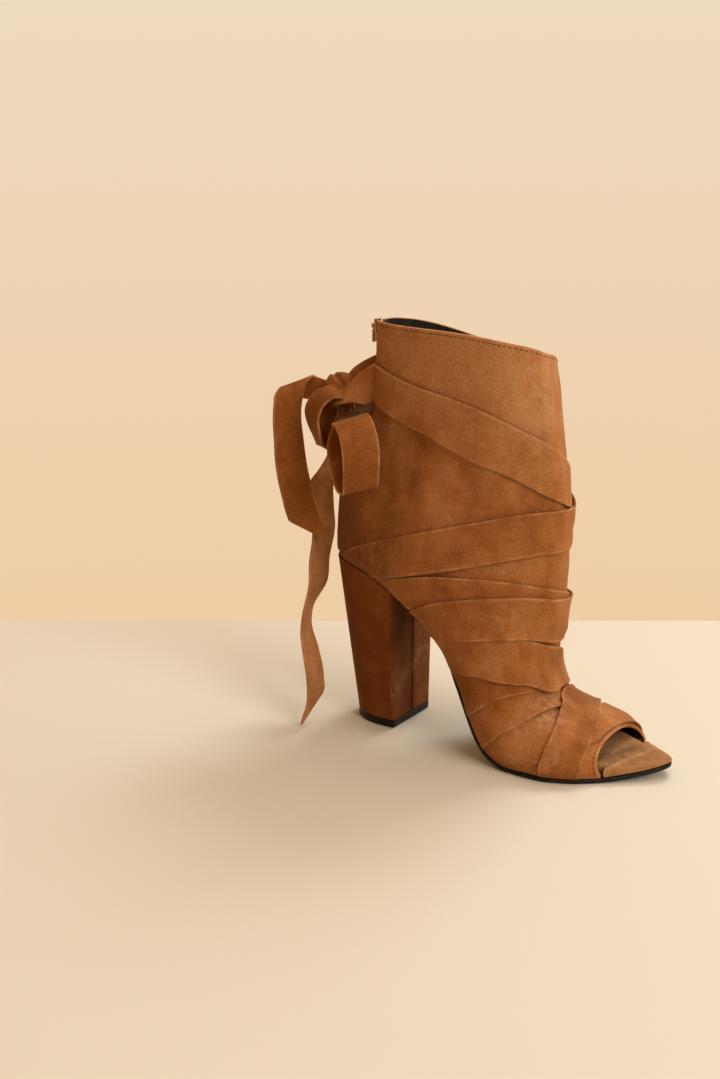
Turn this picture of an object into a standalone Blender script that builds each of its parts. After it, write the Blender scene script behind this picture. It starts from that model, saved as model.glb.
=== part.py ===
"""Strappy open toe bootie for the right foot, on a covered block heel.

The upper is a hollow shell lofted from a fan of sections that run from the
toe opening, over the instep, to the collar.  The straps are bands cut from the
same surface.  The frame has +X to the toe, +Y to the inner side of the foot and
+Z up, with the floor at z = 0.  Tables are in millimetres.
"""
import bmesh
import bpy
import numpy as np
from mathutils import Matrix, Vector

MM = 0.001

# Sole sizes
HEEL_X = -106.5
TOE_X = 108.5
HEEL_ROUND = 32.0
TOE_ROUND = 60.0
OUTSOLE_THICK = 2.4
WAIST_INSET = 5.0
REST_BACK = 30.0
REST_FRONT = 75.0
SEAT_GAP = 0.3
FOOT_INSET = 1.2
FOOT_TALL = 1.3
SEAT_INSET = 1.5
INSOLE_GAP = 1.3
TOE_ROLL = 2.2
TOE_SKEW = 4.5
WAIST_NARROWS = (-6.0, -28.0)
SEAT_NARROWS = (-80.0, -95.0)
INSOLE_OPENS_OUTER = (90.0, 80.5)
INSOLE_OPENS_INNER = (97.0, 86.5)
TOE_ROLLS = (80.0, 90.0)
EDGE_LEAN = 2.0
TIP_HALF = 0.4

# Heel sizes
BREAST_X = -57.5
TOP_PIECE_TALL = 5.0
HEEL_FOOT_CENTRE = -66.0
HEEL_FOOT_BACK = 26.5
HEEL_FOOT_HALF = 21.3
HEEL_FOOT_Y = 1.0
HEEL_TOP_CENTRE = -76.0

# Upper and strap sizes
WALL = 1.8
STRAP_THICK = 1.3
STRAP_GAP = 0.7
STRAP_CLEAR = 0.8
STRAP_REACH = 1.5
FLAP_LIFT = 2.4
FLAP_RISES = (0.10, 0.02)
FLAP_FALLS = (0.015, 0.075)
BOW_PEAK = 6.75
COLLAR_DIP = 12.0
COLLAR_DIPS = (1.0, 0.70)
FLAP_DIP = 9.0
FLAP_DIPS = (0.42, 0.58)
DIP_ROW = 12.5
PANEL_DIP = 6.0
PANEL_DIP_ROW = 11.5
PANEL_DIP_WIDE = 0.05
THROAT = 3.4
THROAT_LONG = 0.6
THROAT_NOTCH = 0.012
THROAT_LIFT = 0.5
SEAT_ROW = 9.0
ZIP_ROW = 10.4
ZIP_SLOT = 2.8
COLUMN = 1 / 32
END_CLEAR = 0.3 * COLUMN
LATTICE = np.arange(0, 33) * COLUMN
SEAT_ROWS = (8.25, 8.75)

# Zip sizes
ZIP_COIL = 1.2
ZIP_COIL_HIGH = 2.0
ZIP_TAPE = 4.8
ZIP_TAPE_THICK = 0.9
ZIP_TAPE_GAP = 0.8
ZIP_START = 0.4
ZIP_STOP = 0.12
COIL_SLOPE = 0.2
BACK_REACH = 0.08
SLIDER_AT = (-82.4, 0.0, 238.0)
SLIDER_SIZE = (1.5, 5.6, 8.0)
CHEEK_REACH = 2.0
CHEEK_THICK = 0.9
CHEEK_APART = 3.0
CHEEK_TALL = 2.6
CHEEK_SINK = 0.4
PIN_RADIUS = 0.45
PIN_BACK = 1.35
PULL_EYE = 1.0
PULL_HOLE = 0.55
PULL_EYE_WIDE = 2.4
PULL_NECK = 2.2
PULL_NECK_TOP = 0.8
PULL_NECK_DEEP = 0.5
PULL_CLEAR = 2.1
PULL_LONG = 9.5
PULL_WIDE = 4.2
PULL_THICK = 0.8
EDGE_WORN = 0.3

# Ribbon and knot sizes
RIBBON_THICK = 1.5
GATHER = 0.45
GATHER_LONG = 16.0
LOOP_GATHER = 26.0
TIE_END = 0.04
TIE_GAP = 0.95
TIE_LEAVE = 8.0
TIE_STEPS = (0.35, 0.7, 1.0)
KNOT_ENTRY = 8.8
KNOT_SIDE = 4.5
KNOT_GATHER = 17.0
CUT_LONG = 1.5
CUT_START = 1.0

# Half-widths of the sole before its ends are rounded
# x, outer side, inner side, centre line
SOLE_ROWS = np.array((
    (-107, 24.0, 24.0, 0.0),
    (-95, 25.5, 25.5, 0.0),
    (-60, 26.0, 25.0, 0.0),
    (-30, 26.5, 22.5, 0.0),
    (-10, 30.0, 24.5, 0.0),
    (10, 37.5, 31.0, 0.0),
    (26, 41.0, 37.0, 0.0),
    (48, 43.0, 42.0, 0.5),
    (62, 41.0, 40.5, 1.5),
    (80, 34.5, 33.5, 3.0),
    (95, 28.0, 27.0, 4.0),
    (110, 20.0, 19.0, 4.0),
))

# Line where the suede meets the sole
# x, height
FEATHER_ROWS = np.array((
    (-107, 100.0),
    (-95, 100.0),
    (-80, 97.5),
    (-65, 91.0),
    (-50, 81.5),
    (-35, 70.0),
    (-20, 56.0),
    (-8, 39.0),
    (0, 25.5),
    (8, 14.0),
    (17, 6.0),
    (30, 2.4),
    (75, 2.4),
    (92, 4.2),
    (110, 8.4),
))

# Thickness of the padded insole
# x, thickness
INSOLE_ROWS = np.array((
    (-107, 3.0),
    (20, 3.0),
    (60, 4.5),
    (84, 5.2),
    (110, 3.6),
))

# Sections of the upper, from the toe opening to the collar
# foot x, rise, ridge x, ridge z, ridge y, outer half, inner half, fullness, egg,
# outer bow at the front, inner bow at the back
SECTION_ROWS = np.array((
    (79.5, 0, 73.8, 18.3, 4.5, 29.8, 29.8, 0.85, 0.0, 0, 0),
    (64, 0, 68.0, 23.5, 3.0, 39.5, 40.0, 0.95, 0.0, 0, 0),
    (46, 0, 52.5, 29.0, 3.0, 43.8, 42.5, 1.00, 0.0, 0, 0),
    (26, 0, 38.0, 36.5, 2.0, 42.5, 39.0, 1.00, 0.0, 0, 0),
    (8, 0, 34.0, 56.0, 1.0, 40.0, 35.0, 0.95, 0.0, 0, 0),
    (-10, 0, 35.0, 76.0, 0.0, 36.5, 32.0, 0.92, 0.0, 0, 0),
    (-32, 0, 38.0, 97.0, 0.0, 34.0, 31.0, 0.90, 0.0, 0, 0),
    (-60, 0, 39.5, 118.0, 0.0, 32.0, 30.5, 0.90, 0.0, 0, 0),
    (-87, 0, 39.3, 134.0, 0.0, 30.5, 29.5, 0.87, 0.00, 0, 0),
    (-106.5, 0, 38.3, 147.0, 0.0, 29.0, 28.5, 0.82, 0.03, 0, 0),
    (-108, 12, 37.0, 160.0, 0.0, 28.0, 27.5, 0.83, -0.10, 0, 0),
    (-107, 34, 34.7, 178.0, 0.0, 26.5, 26.5, 0.84, -0.26, 0, 0),
    (-96, 62, 31.7, 196.5, 0.0, 25.0, 25.0, 0.84, -0.40, 1, 0),
    (-82.5, 98, 29.2, 214.5, 0.0, 24.5, 24.5, 0.82, -0.45, 2.5, 2),
    (-81, 142, 26.4, 233.6, 0.0, 24.5, 24.5, 0.80, -0.50, 3.5, 7),
))
COLLAR_ROW = len(SECTION_ROWS) - 1.0
SECTIONS = np.column_stack((np.arange(len(SECTION_ROWS)), SECTION_ROWS))

# Free edge of the front flap and hidden edge of the panel under it
# section, joined place, flap reach, panel reach
FLAP_ROWS = np.array((
    (0.0, 0.555, 0.0, 0.0),
    (THROAT, 0.555, 0.0, 0.0),
    (THROAT + THROAT_LONG, 0.555, 0.0, 0.0),
    (THROAT + 1.6, 0.560, 0.012, 0.030),
    (9.0, 0.570, 0.020, 0.060),
    (COLLAR_ROW, 0.575, 0.060, 0.080),
))

# Strap bands, lowest layer first: name, then rows of
# place round the section, lower edge, upper edge (both in sections)
STRAPS = (
    ("strap_toe_inner", (
        (0.28, 0.42, 0.90), (0.36, 0.34, 1.15), (0.46, 0.36, 1.45), (0.54, 0.28, 1.65),
        (0.61, 0.18, 1.75), (0.75, 0.10, 1.85), (0.90, 0.16, 1.90), (1.00, 0.36, 1.90))),
    ("strap_vamp_low", (
        (0.00, 2.38, 3.75), (0.11, 1.86, 3.60), (0.20, 1.70, 3.30), (0.31, 1.72, 2.95),
        (0.44, 2.05, 2.40))),
    ("strap_vamp_mid", (
        (0.00, 3.66, 4.45), (0.15, 3.38, 4.35), (0.31, 2.82, 3.85), (0.45, 2.25, 3.20))),
    ("strap_vamp_high", (
        (0.00, 4.36, 5.25), (0.18, 4.18, 4.95), (0.33, 3.66, 4.25), (0.48, 3.08, 3.50))),
    ("strap_instep_low", (
        (0.00, 5.22, 5.78), (0.16, 4.78, 5.60), (0.30, 4.06, 5.30), (0.49, 3.04, 4.45),
        (0.56, 3.06, 4.25), (0.64, 3.18, 4.14), (0.80, 3.42, 4.25), (1.00, 3.75, 4.40))),
    ("strap_toe_cross", (
        (0.00, 0.64, 1.82), (0.21, 0.60, 1.90), (0.42, 0.98, 2.36), (0.57, 1.46, 2.96),
        (0.70, 1.90, 3.02), (0.85, 2.25, 3.20), (1.00, 2.40, 3.25))),
    ("strap_instep_high", (
        (0.00, 6.46, 7.28), (0.13, 6.30, 7.20), (0.21, 6.10, 7.00), (0.31, 5.70, 6.68),
        (0.40, 5.35, 6.36), (0.57, 4.90, 5.86), (0.70, 4.65, 5.50), (0.85, 4.50, 5.25),
        (1.00, 4.55, 5.15))),
    ("strap_instep_mid", (
        (0.00, 5.80, 6.43), (0.12, 5.60, 6.54), (0.20, 5.47, 6.48), (0.31, 5.20, 6.30),
        (0.54, 4.52, 5.85), (0.66, 4.62, 6.00), (0.80, 5.00, 6.40), (1.00, 5.50, 6.60))),
    ("ankle_tie_inner", (
        (TIE_END, 12.92, 13.46), (0.07, 12.84, 13.42), (0.22, 12.15, 13.00), (0.32, 11.20, 12.50),
        (0.41, 10.20, 11.75), (0.46, 9.45, 11.25), (0.51, 8.80, 10.65), (0.56, 8.30, 10.20),
        (0.60, 7.90, 9.80), (0.66, 7.50, 9.40), (0.80, 7.25, 9.20), (0.90, 7.26, 8.90),
        (1.00, 7.28, 8.25))),
    ("ankle_tie_outer", (
        (0.00, 7.28, 8.25), (0.10, 7.27, 8.90), (0.20, 7.26, 9.30), (0.36, 7.24, 9.16),
        (0.51, 7.18, 8.85), (0.56, 7.55, 9.40), (0.60, 8.40, 10.20), (0.66, 9.50, 11.00),
        (0.78, 11.30, 12.30), (0.93, 12.96, 13.52), (1 - TIE_END, 13.06, 13.58))),
)

# Bow of the two ankle ties, behind the back seam: name, ribbon width, slant of the cut end,
# then rows of x, y, z and the direction of the width
KNOT_AT = (-106.0, -2.0, 198.0)
KNOT_ROWS = (
    (-9.5, 5.0, 7.0),
    (-7.5, 7.5, 9.5),
    (-2.0, 8.5, 11.0),
    (4.0, 8.0, 10.5),
    (8.0, 6.5, 8.5),
)
RIBBONS = (
    ("bow_loop_near", 22.0, 0.0, (
        (-102.6, -9.2, 190.2, 0.84, 0.54, 0.10), (-94.5, -22, 188, 0.84, 0.54, 0.10),
        (-87, -31, 188, 0.84, 0.54, 0.10), (-81, -36, 189.5, 0.84, 0.54, 0.10),
        (-76, -38, 184, 0.84, 0.54, 0.08), (-72, -37, 167, 0.84, 0.54, 0.05),
        (-72, -35.5, 150, 0.84, 0.54, 0.05), (-74, -32.5, 145, 0.90, 0.44, 0.05),
        (-77, -29.5, 150, 0.95, 0.31, 0.05), (-85, -27.5, 164, 0.95, 0.31, 0.05),
        (-95.5, -22, 175, 0.90, 0.40, 0.05), (-103, -9.5, 184, 0.84, 0.54, 0.05))),
    ("bow_loop_far", 18.0, 0.0, (
        (-113.2, -10.5, 194.0, 0.47, -0.73, -0.50), (-117.8, -13.5, 190.5, 0.65, -0.65, -0.30),
        (-119.8, -15.3, 182.5, 0.82, -0.55, 0.10), (-118.6, -15.4, 175.2, 0.76, -0.62, 0.18),
        (-117.0, -13.8, 168.5, 0.66, -0.74, 0.15), (-117.5, -10.0, 163.8, 0.62, -0.76, 0.12),
        (-119.5, -6.0, 166.0, 0.62, -0.76, 0.10), (-121.0, -3.5, 174.0, 0.68, -0.70, 0.10),
        (-119.5, -3.0, 184.0, 0.80, -0.55, 0.10), (-117.5, -3.0, 190.0, 0.86, -0.46, 0.10))),
    ("bow_tail_arched", 21.0, 21.0, (
        (-117.3, 6, 202, 0.20, 0.97, 0.10), (-122.5, 3.5, 204.8, 0.25, 0.95, 0.10),
        (-129.5, -4, 202.5, 0.30, 0.94, 0.08), (-135.5, -13, 187, 0.40, 0.90, 0.05),
        (-135, -17, 170, 0.55, 0.83, 0.08), (-131, -20, 153, 0.66, 0.72, 0.18),
        (-125, -21, 133, 0.70, 0.66, 0.25), (-118, -21, 114, 0.72, 0.64, 0.28))),
    ("bow_tail_hanging", 20.0, -14.0, (
        (-108.5, 3, 187.3, 0.30, 0.95, 0.00), (-109.5, 5, 172, 0.30, 0.95, 0.00),
        (-111, 4, 160, 0.30, 0.95, 0.00), (-116, 2, 150, 0.30, 0.95, 0.00),
        (-122, -1, 140, 0.30, 0.95, 0.00), (-121, -3, 126, 0.25, 0.97, 0.00),
        (-118, -5, 112, 0.15, 0.98, 0.00), (-118, -10, 93, 0.05, 0.99, 0.00),
        (-117, -13, 80, 0.00, 0.99, 0.00), (-120.7, -19, 63, -0.30, 0.95, 0.00),
        (-120, -22, 54, -0.30, 0.95, 0.00), (-113, -27, 39.5, -0.15, 0.98, 0.00),
        (-107.5, -31, 28, -0.10, 0.98, 0.00), (-105.5, -34, 15, -0.10, 0.98, 0.00),
        (-106, -36.5, 8, -0.10, 0.99, 0.00))),
)

COLOURS = {
    "suede": (0.36, 0.155, 0.045, 1.0),
    "sole": (0.02, 0.02, 0.02, 1.0),
    "lining": (0.015, 0.015, 0.016, 1.0),
    "metal": (0.45, 0.27, 0.16, 1.0),
}


def smooth(rows, at):
    """Monotone cubic through rows whose first column is the place along them."""
    place = rows[:, 0]
    value = rows[:, 1:]
    step = np.diff(place)[:, None]
    slope = np.diff(value, axis=0) / step
    tangent = np.zeros_like(value)
    tangent[0] = slope[0]
    tangent[-1] = slope[-1]
    before = slope[:-1]
    after = slope[1:]
    same = before * after > 0
    near = 2 * step[1:] + step[:-1]
    far = step[1:] + 2 * step[:-1]
    mean = (near + far) * before * after / np.where(same, near * after + far * before, 1.0)
    tangent[1:-1] = np.where(same, mean, 0.0)
    at = np.asarray(at, float)
    i = np.clip(np.searchsorted(place, at) - 1, 0, len(place) - 2)
    d = step[i]
    t = np.clip((at - place[i]) / step[i, 0], 0.0, 1.0)[..., None]
    start = (1 + 2 * t) * (1 - t) ** 2 * value[i] + t * (1 - t) ** 2 * d * tangent[i]
    end = t * t * (3 - 2 * t) * value[i + 1] + t * t * (t - 1) * d * tangent[i + 1]
    return start + end


def ramp(low, high, at):
    """Smooth step from 0 at low to 1 at high."""
    t = np.clip((at - low) / (high - low), 0.0, 1.0)
    return t * t * (3 - 2 * t)


def unit(vectors):
    return vectors / (np.linalg.norm(vectors, axis=-1, keepdims=True) + 1e-12)


def feather(x):
    """Height of the line where the suede meets the sole."""
    return smooth(FEATHER_ROWS, x)[..., 0]


def sole_sides(x):
    """Outer half-width, inner half-width and centre line of the sole at x."""
    row = smooth(SOLE_ROWS, x)
    heel = np.clip((x - HEEL_X) / HEEL_ROUND, 0, 1)
    toe = np.clip((TOE_X - x) / TOE_ROUND, 0, 1)
    ends = np.sqrt(1 - (1 - heel) ** 2) * np.sqrt(1 - (1 - toe) ** 2)
    return row[..., 0] * ends, row[..., 1] * ends, row[..., 2]


def surface(u, v, slot=0.0):
    """Outside of the upper.

    v counts the sections.  u runs round a section, 0 at its outer foot, 0.5 at
    the ridge and 1 at its inner foot.  Each half is a cut ellipse between its
    foot on the sole, or on the back seam, and the ridge.
    """
    u, v = np.broadcast_arrays(np.asarray(u, float), np.asarray(v, float))
    row = np.moveaxis(smooth(SECTIONS, v), -1, 0)
    foot_x, rise, ridge_x, ridge_z, ridge_y, outer, inner, full, egg = row[:9]
    bow_outer, bow_inner = row[9:]
    foot_x = foot_x + TOE_SKEW * ramp(0.5, 1.0, u) * np.clip(1 - v, 0, 1) ** 2
    foot_z = feather(foot_x) + SEAT_GAP + FOOT_TALL + rise
    side_outer, side_inner, middle = sole_sides(foot_x)
    grip = np.clip(1 - (v - SEAT_ROW), 0, 1)
    is_outer = u < 0.5
    half = np.where(is_outer, outer, inner)
    side = np.maximum(np.where(is_outer, side_outer, side_inner) - FOOT_INSET, 0)
    end = np.maximum(side * grip, slot)
    turned = np.arcsin(np.clip(end / half, 0, 1) ** (1 / full))
    first = turned.copy()
    for _ in range(12):
        first = turned - egg * np.sin(first)
    along = np.where(is_outer, 2 * u, 2 * (1 - u))
    angle = first + (np.pi - first) * along
    height = (np.cos(first) - np.cos(angle)) / (np.cos(first) + 1)
    width = half * np.clip(np.sin(angle + egg * np.sin(angle)), 0, 1) ** full
    x = foot_x + (ridge_x - foot_x) * height
    swell = np.where(is_outer, bow_outer * height, bow_inner * (1 - height))
    z = foot_z + (ridge_z - foot_z) * height + BOW_PEAK * swell * height * (1 - height)
    y = middle * grip * (1 - height) + ridge_y * height + np.where(is_outer, -width, width)
    return np.stack((x, y, z), -1)


def slot_at(v):
    """Half-width of the zip's slot in the back seam."""
    return np.where(v >= ZIP_ROW, ZIP_SLOT, 0.0)


def outward(u, v):
    """Unit direction out of the upper's surface."""
    du = 0.004
    dv = 0.03
    u_low = np.clip(u - du, 0.004, 0.996 - du)
    v_low = np.clip(v - dv, 0, COLLAR_ROW - 2 * dv)
    across = surface(u_low + 2 * du, v) - surface(u_low, v)
    up = surface(u, v_low + 2 * dv) - surface(u, v_low)
    return unit(np.cross(across, up))


def flap(v):
    """Places of the flap's free edge and of the hidden edge under it."""
    joined, reach, under = np.moveaxis(smooth(FLAP_ROWS, v), -1, 0)
    notch = THROAT_NOTCH * np.sin(np.pi * np.clip((v - THROAT) / THROAT_LONG, 0, 1))
    return joined + reach - notch, joined - under + notch


def flap_lift(u, v):
    """How far the front flap stands off the sections."""
    edge, hidden = flap(v)
    rising = ramp(hidden - FLAP_RISES[0], hidden - FLAP_RISES[1], u)
    falling = 1 - ramp(edge + FLAP_FALLS[0], edge + FLAP_FALLS[1], u)
    return FLAP_LIFT * ramp(THROAT, THROAT + THROAT_LIFT, v) * rising * falling


def panel_dip(u, v):
    """How far the inner panel falls away behind the flap's corner at the collar."""
    edge, _ = flap(v)
    return PANEL_DIP * ramp(PANEL_DIP_ROW, COLLAR_ROW, v) * np.exp(-((u - edge) / PANEL_DIP_WIDE) ** 2)


def collar_dip(u, v, is_outer):
    """How far the top edge drops, along the inner panel and at the flap's corner."""
    drop = FLAP_DIP * ramp(*FLAP_DIPS, u) if is_outer else COLLAR_DIP * ramp(*COLLAR_DIPS, u)
    return drop * ramp(DIP_ROW, COLLAR_ROW, v)


def strap_edges(rows, u):
    row = smooth(np.array(rows), u)
    return row[..., 0], row[..., 1]


def is_tie(rows):
    """True for a strap that ends in the knot."""
    return rows[0][0] == TIE_END or rows[-1][0] == 1 - TIE_END


def strap_rests():
    """Height of each strap's underside at the lattice of places, on what lies below it."""
    rests = []
    for layer, (name, rows) in enumerate(STRAPS):
        low, high = strap_edges(rows, LATTICE)
        v = low[:, None] + (high - low)[:, None] * np.linspace(0, 1, 9)
        u = np.broadcast_to(LATTICE[:, None], v.shape)
        gap = TIE_GAP if is_tie(rows) else STRAP_GAP
        rest = widest(flap_lift(u, v).max(axis=1)) + gap
        middle = (low + high) / 2
        step = surface(LATTICE, middle + 0.1) - surface(LATTICE, middle - 0.1)
        reach = 0.2 * STRAP_REACH / np.linalg.norm(step, axis=-1)
        for below in range(layer):
            under = STRAPS[below][1]
            under_low, under_high = strap_edges(under, LATTICE)
            over = (low - reach < under_high) & (high + reach > under_low)
            over = over & (LATTICE > under[0][0] - COLUMN) & (LATTICE < under[-1][0] + COLUMN)
            top = rests[below] + STRAP_THICK + STRAP_GAP
            rest = np.maximum(rest, np.where(widest(over), top, 0.0))
        rests.append(rest)
    return rests


def widest(values):
    """Greatest of each value and its two neighbours."""
    padded = np.concatenate((values[:1], values, values[-1:]))
    return np.maximum(np.maximum(padded[:-2], padded[1:-1]), padded[2:])


def make_object(name, points, faces, colour, collection):
    """Closed mesh object, in metres, facing out."""
    mesh = bpy.data.meshes.new(name)
    mesh.from_pydata((np.asarray(points) * MM).tolist(), [], [list(map(int, f)) for f in faces])
    work = bmesh.new()
    work.from_mesh(mesh)
    bmesh.ops.remove_doubles(work, verts=work.verts, dist=1e-6)
    bmesh.ops.recalc_face_normals(work, faces=work.faces)
    work.to_mesh(mesh)
    work.free()
    mesh.materials.append(bpy.data.materials[colour])
    obj = bpy.data.objects.new(name, mesh)
    collection.objects.link(obj)
    return obj


def grid_faces(rows, columns, start=0):
    """Quads of a grid of points stored row by row."""
    i, j = np.meshgrid(np.arange(rows - 1), np.arange(columns - 1), indexing="ij")
    a = start + (i * columns + j).ravel()
    return np.stack((a, a + 1, a + columns + 1, a + columns), -1)


def skin_between(top, bottom):
    """Closed body between two grids of the same shape."""
    rows, columns = top.shape[:2]
    count = rows * columns
    points = np.concatenate((top.reshape(-1, 3), bottom.reshape(-1, 3)))
    faces = [grid_faces(rows, columns), grid_faces(rows, columns, count)[:, ::-1]]
    number = np.arange(count).reshape(rows, columns)
    loop = np.concatenate((number[0, :-1], number[:-1, -1], number[-1, :0:-1], number[:0:-1, 0]))
    after = np.roll(loop, -1)
    faces.append(np.stack((loop, loop + count, after + count, after), -1))
    return points, np.concatenate(faces)


def rings_body(rings):
    """Closed body through rings of points, its two ends closed flat."""
    rows, columns = rings.shape[:2]
    points = rings.reshape(-1, 3)
    faces = []
    for i in range(rows - 1):
        for j in range(columns):
            k = (j + 1) % columns
            faces.append((i * columns + j, i * columns + k, (i + 1) * columns + k, (i + 1) * columns + j))
    faces.append(tuple(range(columns))[::-1])
    faces.append(tuple((rows - 1) * columns + j for j in range(columns)))
    return points, faces


def set_in(side, x, inset):
    """Half-width of the sole's side, moved in square to its edge."""
    lean = np.clip(np.gradient(side, x), -EDGE_LEAN, EDGE_LEAN)
    return np.maximum(side - inset * np.sqrt(1 + lean ** 2), TIP_HALF)


def plate(x, top, bottom, inset_outer, inset_inner, across=5):
    """Top and bottom grids of a sole layer whose sides follow the sole outline."""
    side_outer, side_inner, middle = sole_sides(x)
    share = np.sin(np.linspace(-0.5, 0.5, across) * np.pi)
    outer = set_in(side_outer, x, inset_outer)
    inner = set_in(side_inner, x, inset_inner)
    half = np.where(share[None, :] < 0, outer[:, None], inner[:, None])
    y = middle[:, None] + half * share[None, :]
    x_grid = np.broadcast_to(x[:, None], y.shape)
    upper_grid = np.stack((x_grid, y, np.broadcast_to(top, y.shape)), -1)
    lower_grid = np.stack((x_grid, y, np.broadcast_to(bottom, y.shape)), -1)
    return upper_grid, lower_grid


def sole_stations():
    """Places along the sole from the heel breast to the toe, crowded at the toe."""
    return np.concatenate((
        np.linspace(BREAST_X + SEAT_GAP, REST_BACK, 18)[:-1],
        np.linspace(REST_BACK, REST_FRONT, 6)[:-1],
        REST_FRONT + (TOE_X - REST_FRONT) * np.sin(np.linspace(0, np.pi / 2, 10)),
    ))


def build_outsole(parts):
    x = sole_stations()
    top = feather(x)
    steep = np.gradient(top, x)
    bottom = np.maximum(top - OUTSOLE_THICK * np.sqrt(1 + steep ** 2), 0.0)
    bottom = np.where((x >= REST_BACK) & (x <= REST_FRONT), 0.0, bottom)
    inset = WAIST_INSET * ramp(*WAIST_NARROWS, x)
    upper_grid, lower_grid = plate(x, top[:, None], bottom[:, None], inset, inset)
    points, faces = skin_between(upper_grid, lower_grid)
    return make_object("outsole", points, faces, "sole", parts)


def build_insole(parts):
    inside = FOOT_INSET + WALL + INSOLE_GAP
    front = sole_stations()
    seat = front[0] - HEEL_X - inside
    heel = front[0] - seat * np.cos(np.linspace(0, np.pi / 2, 8))[:-1]
    x = np.concatenate((heel, front))
    narrow = SEAT_INSET * ramp(*SEAT_NARROWS, x)
    inset_outer = inside * ramp(*INSOLE_OPENS_OUTER, x) + narrow
    inset_inner = inside * ramp(*INSOLE_OPENS_INNER, x) + narrow
    floor = feather(x)[:, None] + SEAT_GAP
    thick = smooth(INSOLE_ROWS, x)
    upper_grid, lower_grid = plate(x, floor + thick, floor, inset_outer, inset_inner)
    rolled = TOE_ROLL * ramp(*TOE_ROLLS, x)[:, None]
    share = np.abs(np.linspace(-1, 1, upper_grid.shape[1]))[None, :]
    upper_grid[..., 2] -= rolled * share ** 6
    points, faces = skin_between(upper_grid, lower_grid)
    return make_object("insole", points, faces, "suede", parts)


def heel_ring(level):
    """Outline of the heel at a share of its height, as x and y."""
    turn = np.linspace(-np.pi / 2, np.pi / 2, 17)
    foot_x = HEEL_FOOT_CENTRE - HEEL_FOOT_BACK * np.cos(turn)
    foot_y = HEEL_FOOT_Y + HEEL_FOOT_HALF * np.sin(turn)
    top_x = HEEL_TOP_CENTRE + (HEEL_X - HEEL_TOP_CENTRE + 0.2) * np.cos(turn)
    side_outer, side_inner, middle = sole_sides(top_x)
    top_y = middle + np.where(turn < 0, -side_outer, side_inner)
    x = np.concatenate(((BREAST_X,), foot_x + (top_x - foot_x) * level, (BREAST_X,)))
    y = foot_y + (top_y - foot_y) * level
    return x, np.concatenate(((y[0],), y, (y[-1],)))


def heel_body(low, high):
    """Body between two heel rings given as x, y, z arrays, joined side to side."""
    sides = []
    for x, y, z in (low, high):
        ring = np.stack((x, y, z), -1)
        half = (len(x) + 1) // 2
        near = ring[:half]
        far = ring[::-1][:half]
        share = np.linspace(0, 1, 4)[None, :, None]
        sides.append(near[:, None] + (far - near)[:, None] * share)
    return skin_between(sides[1], sides[0])


def build_heel(parts):
    x, y = heel_ring(0.0)
    level = np.zeros_like(x)
    points, faces = heel_body((x, y, level), (x, y, level + TOP_PIECE_TALL - SEAT_GAP))
    make_object("heel_top_piece", points, faces, "sole", parts)
    top_x, top_y = heel_ring(1.0)
    low = (x, y, level + TOP_PIECE_TALL)
    points, faces = heel_body(low, (top_x, top_y, feather(top_x) - SEAT_GAP / 2))
    make_object("heel_block", points, faces, "suede", parts)


def build_upper(parts):
    """Outer panel with its flap and inner panel, joined at the toe and the back."""
    v = np.sort(np.concatenate((np.arange(0, COLLAR_ROW + 0.5, 0.5), SEAT_ROWS)))
    edge, hidden = flap(v)
    fixed_outer = np.arange(0, 14) * COLUMN
    fixed_inner = 1 - np.arange(10, -1, -1) * COLUMN
    stretch = np.linspace(0, 1, 5)[1:]
    hidden_stretch = np.linspace(1, 0, 5)[:-1]
    outer_u = np.concatenate((
        np.broadcast_to(fixed_outer, (len(v), len(fixed_outer))),
        fixed_outer[-1] + (edge[:, None] - fixed_outer[-1]) * stretch,
    ), axis=1)
    inner_u = np.concatenate((
        fixed_inner[0] + (hidden[:, None] - fixed_inner[0]) * hidden_stretch,
        np.broadcast_to(fixed_inner, (len(v), len(fixed_inner))),
    ), axis=1)
    slot = slot_at(v)[:, None]
    points = []
    faces = []
    count = 0
    for u, is_outer in ((outer_u, True), (inner_u, False)):
        rows = np.broadcast_to(v[:, None], u.shape)
        shift = flap_lift(u, rows) if is_outer else -panel_dip(u, rows)
        grid = surface(u, rows, slot) + outward(u, rows) * shift[..., None]
        grid[..., 2] -= collar_dip(u, rows, is_outer)
        foot = grid[:, :1] if is_outer else grid[:, -1:]
        foot = foot - (v < SEAT_ROW)[:, None, None] * np.array((0.0, 0.0, FOOT_TALL))
        grid = np.concatenate((foot, grid) if is_outer else (grid, foot), axis=1)
        points.append(grid.reshape(-1, 3))
        faces.append(grid_faces(*grid.shape[:2], count))
        count += grid.shape[0] * grid.shape[1]
    obj = make_object("upper", np.concatenate(points), np.concatenate(faces), "suede", parts)
    wall = obj.modifiers.new("wall", "SOLIDIFY")
    wall.thickness = WALL * MM
    wall.offset = -1.0
    wall.use_even_offset = True
    return obj


def strap_grid(layer):
    """Underside of a strap over the upper, as a grid."""
    rows = STRAPS[layer][1]
    first = rows[0][0]
    last = rows[-1][0]
    inside = LATTICE[(LATTICE > first + END_CLEAR) & (LATTICE < last - END_CLEAR)]
    u = np.concatenate(((first,), inside, (last,)))
    low, high = strap_edges(rows, u)
    share = np.sin(np.linspace(0, np.pi / 2, 5)) if is_tie(rows) else np.linspace(0, 1, 4)
    v = low[:, None] + (high - low)[:, None] * share
    u = np.broadcast_to(u[:, None], v.shape)
    return u, v


def above_sole(points):
    """Points kept clear of the line where the suede meets the sole."""
    points = points.copy()
    points[..., 2] = np.maximum(points[..., 2], feather(points[..., 0]) + STRAP_CLEAR)
    return points


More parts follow.
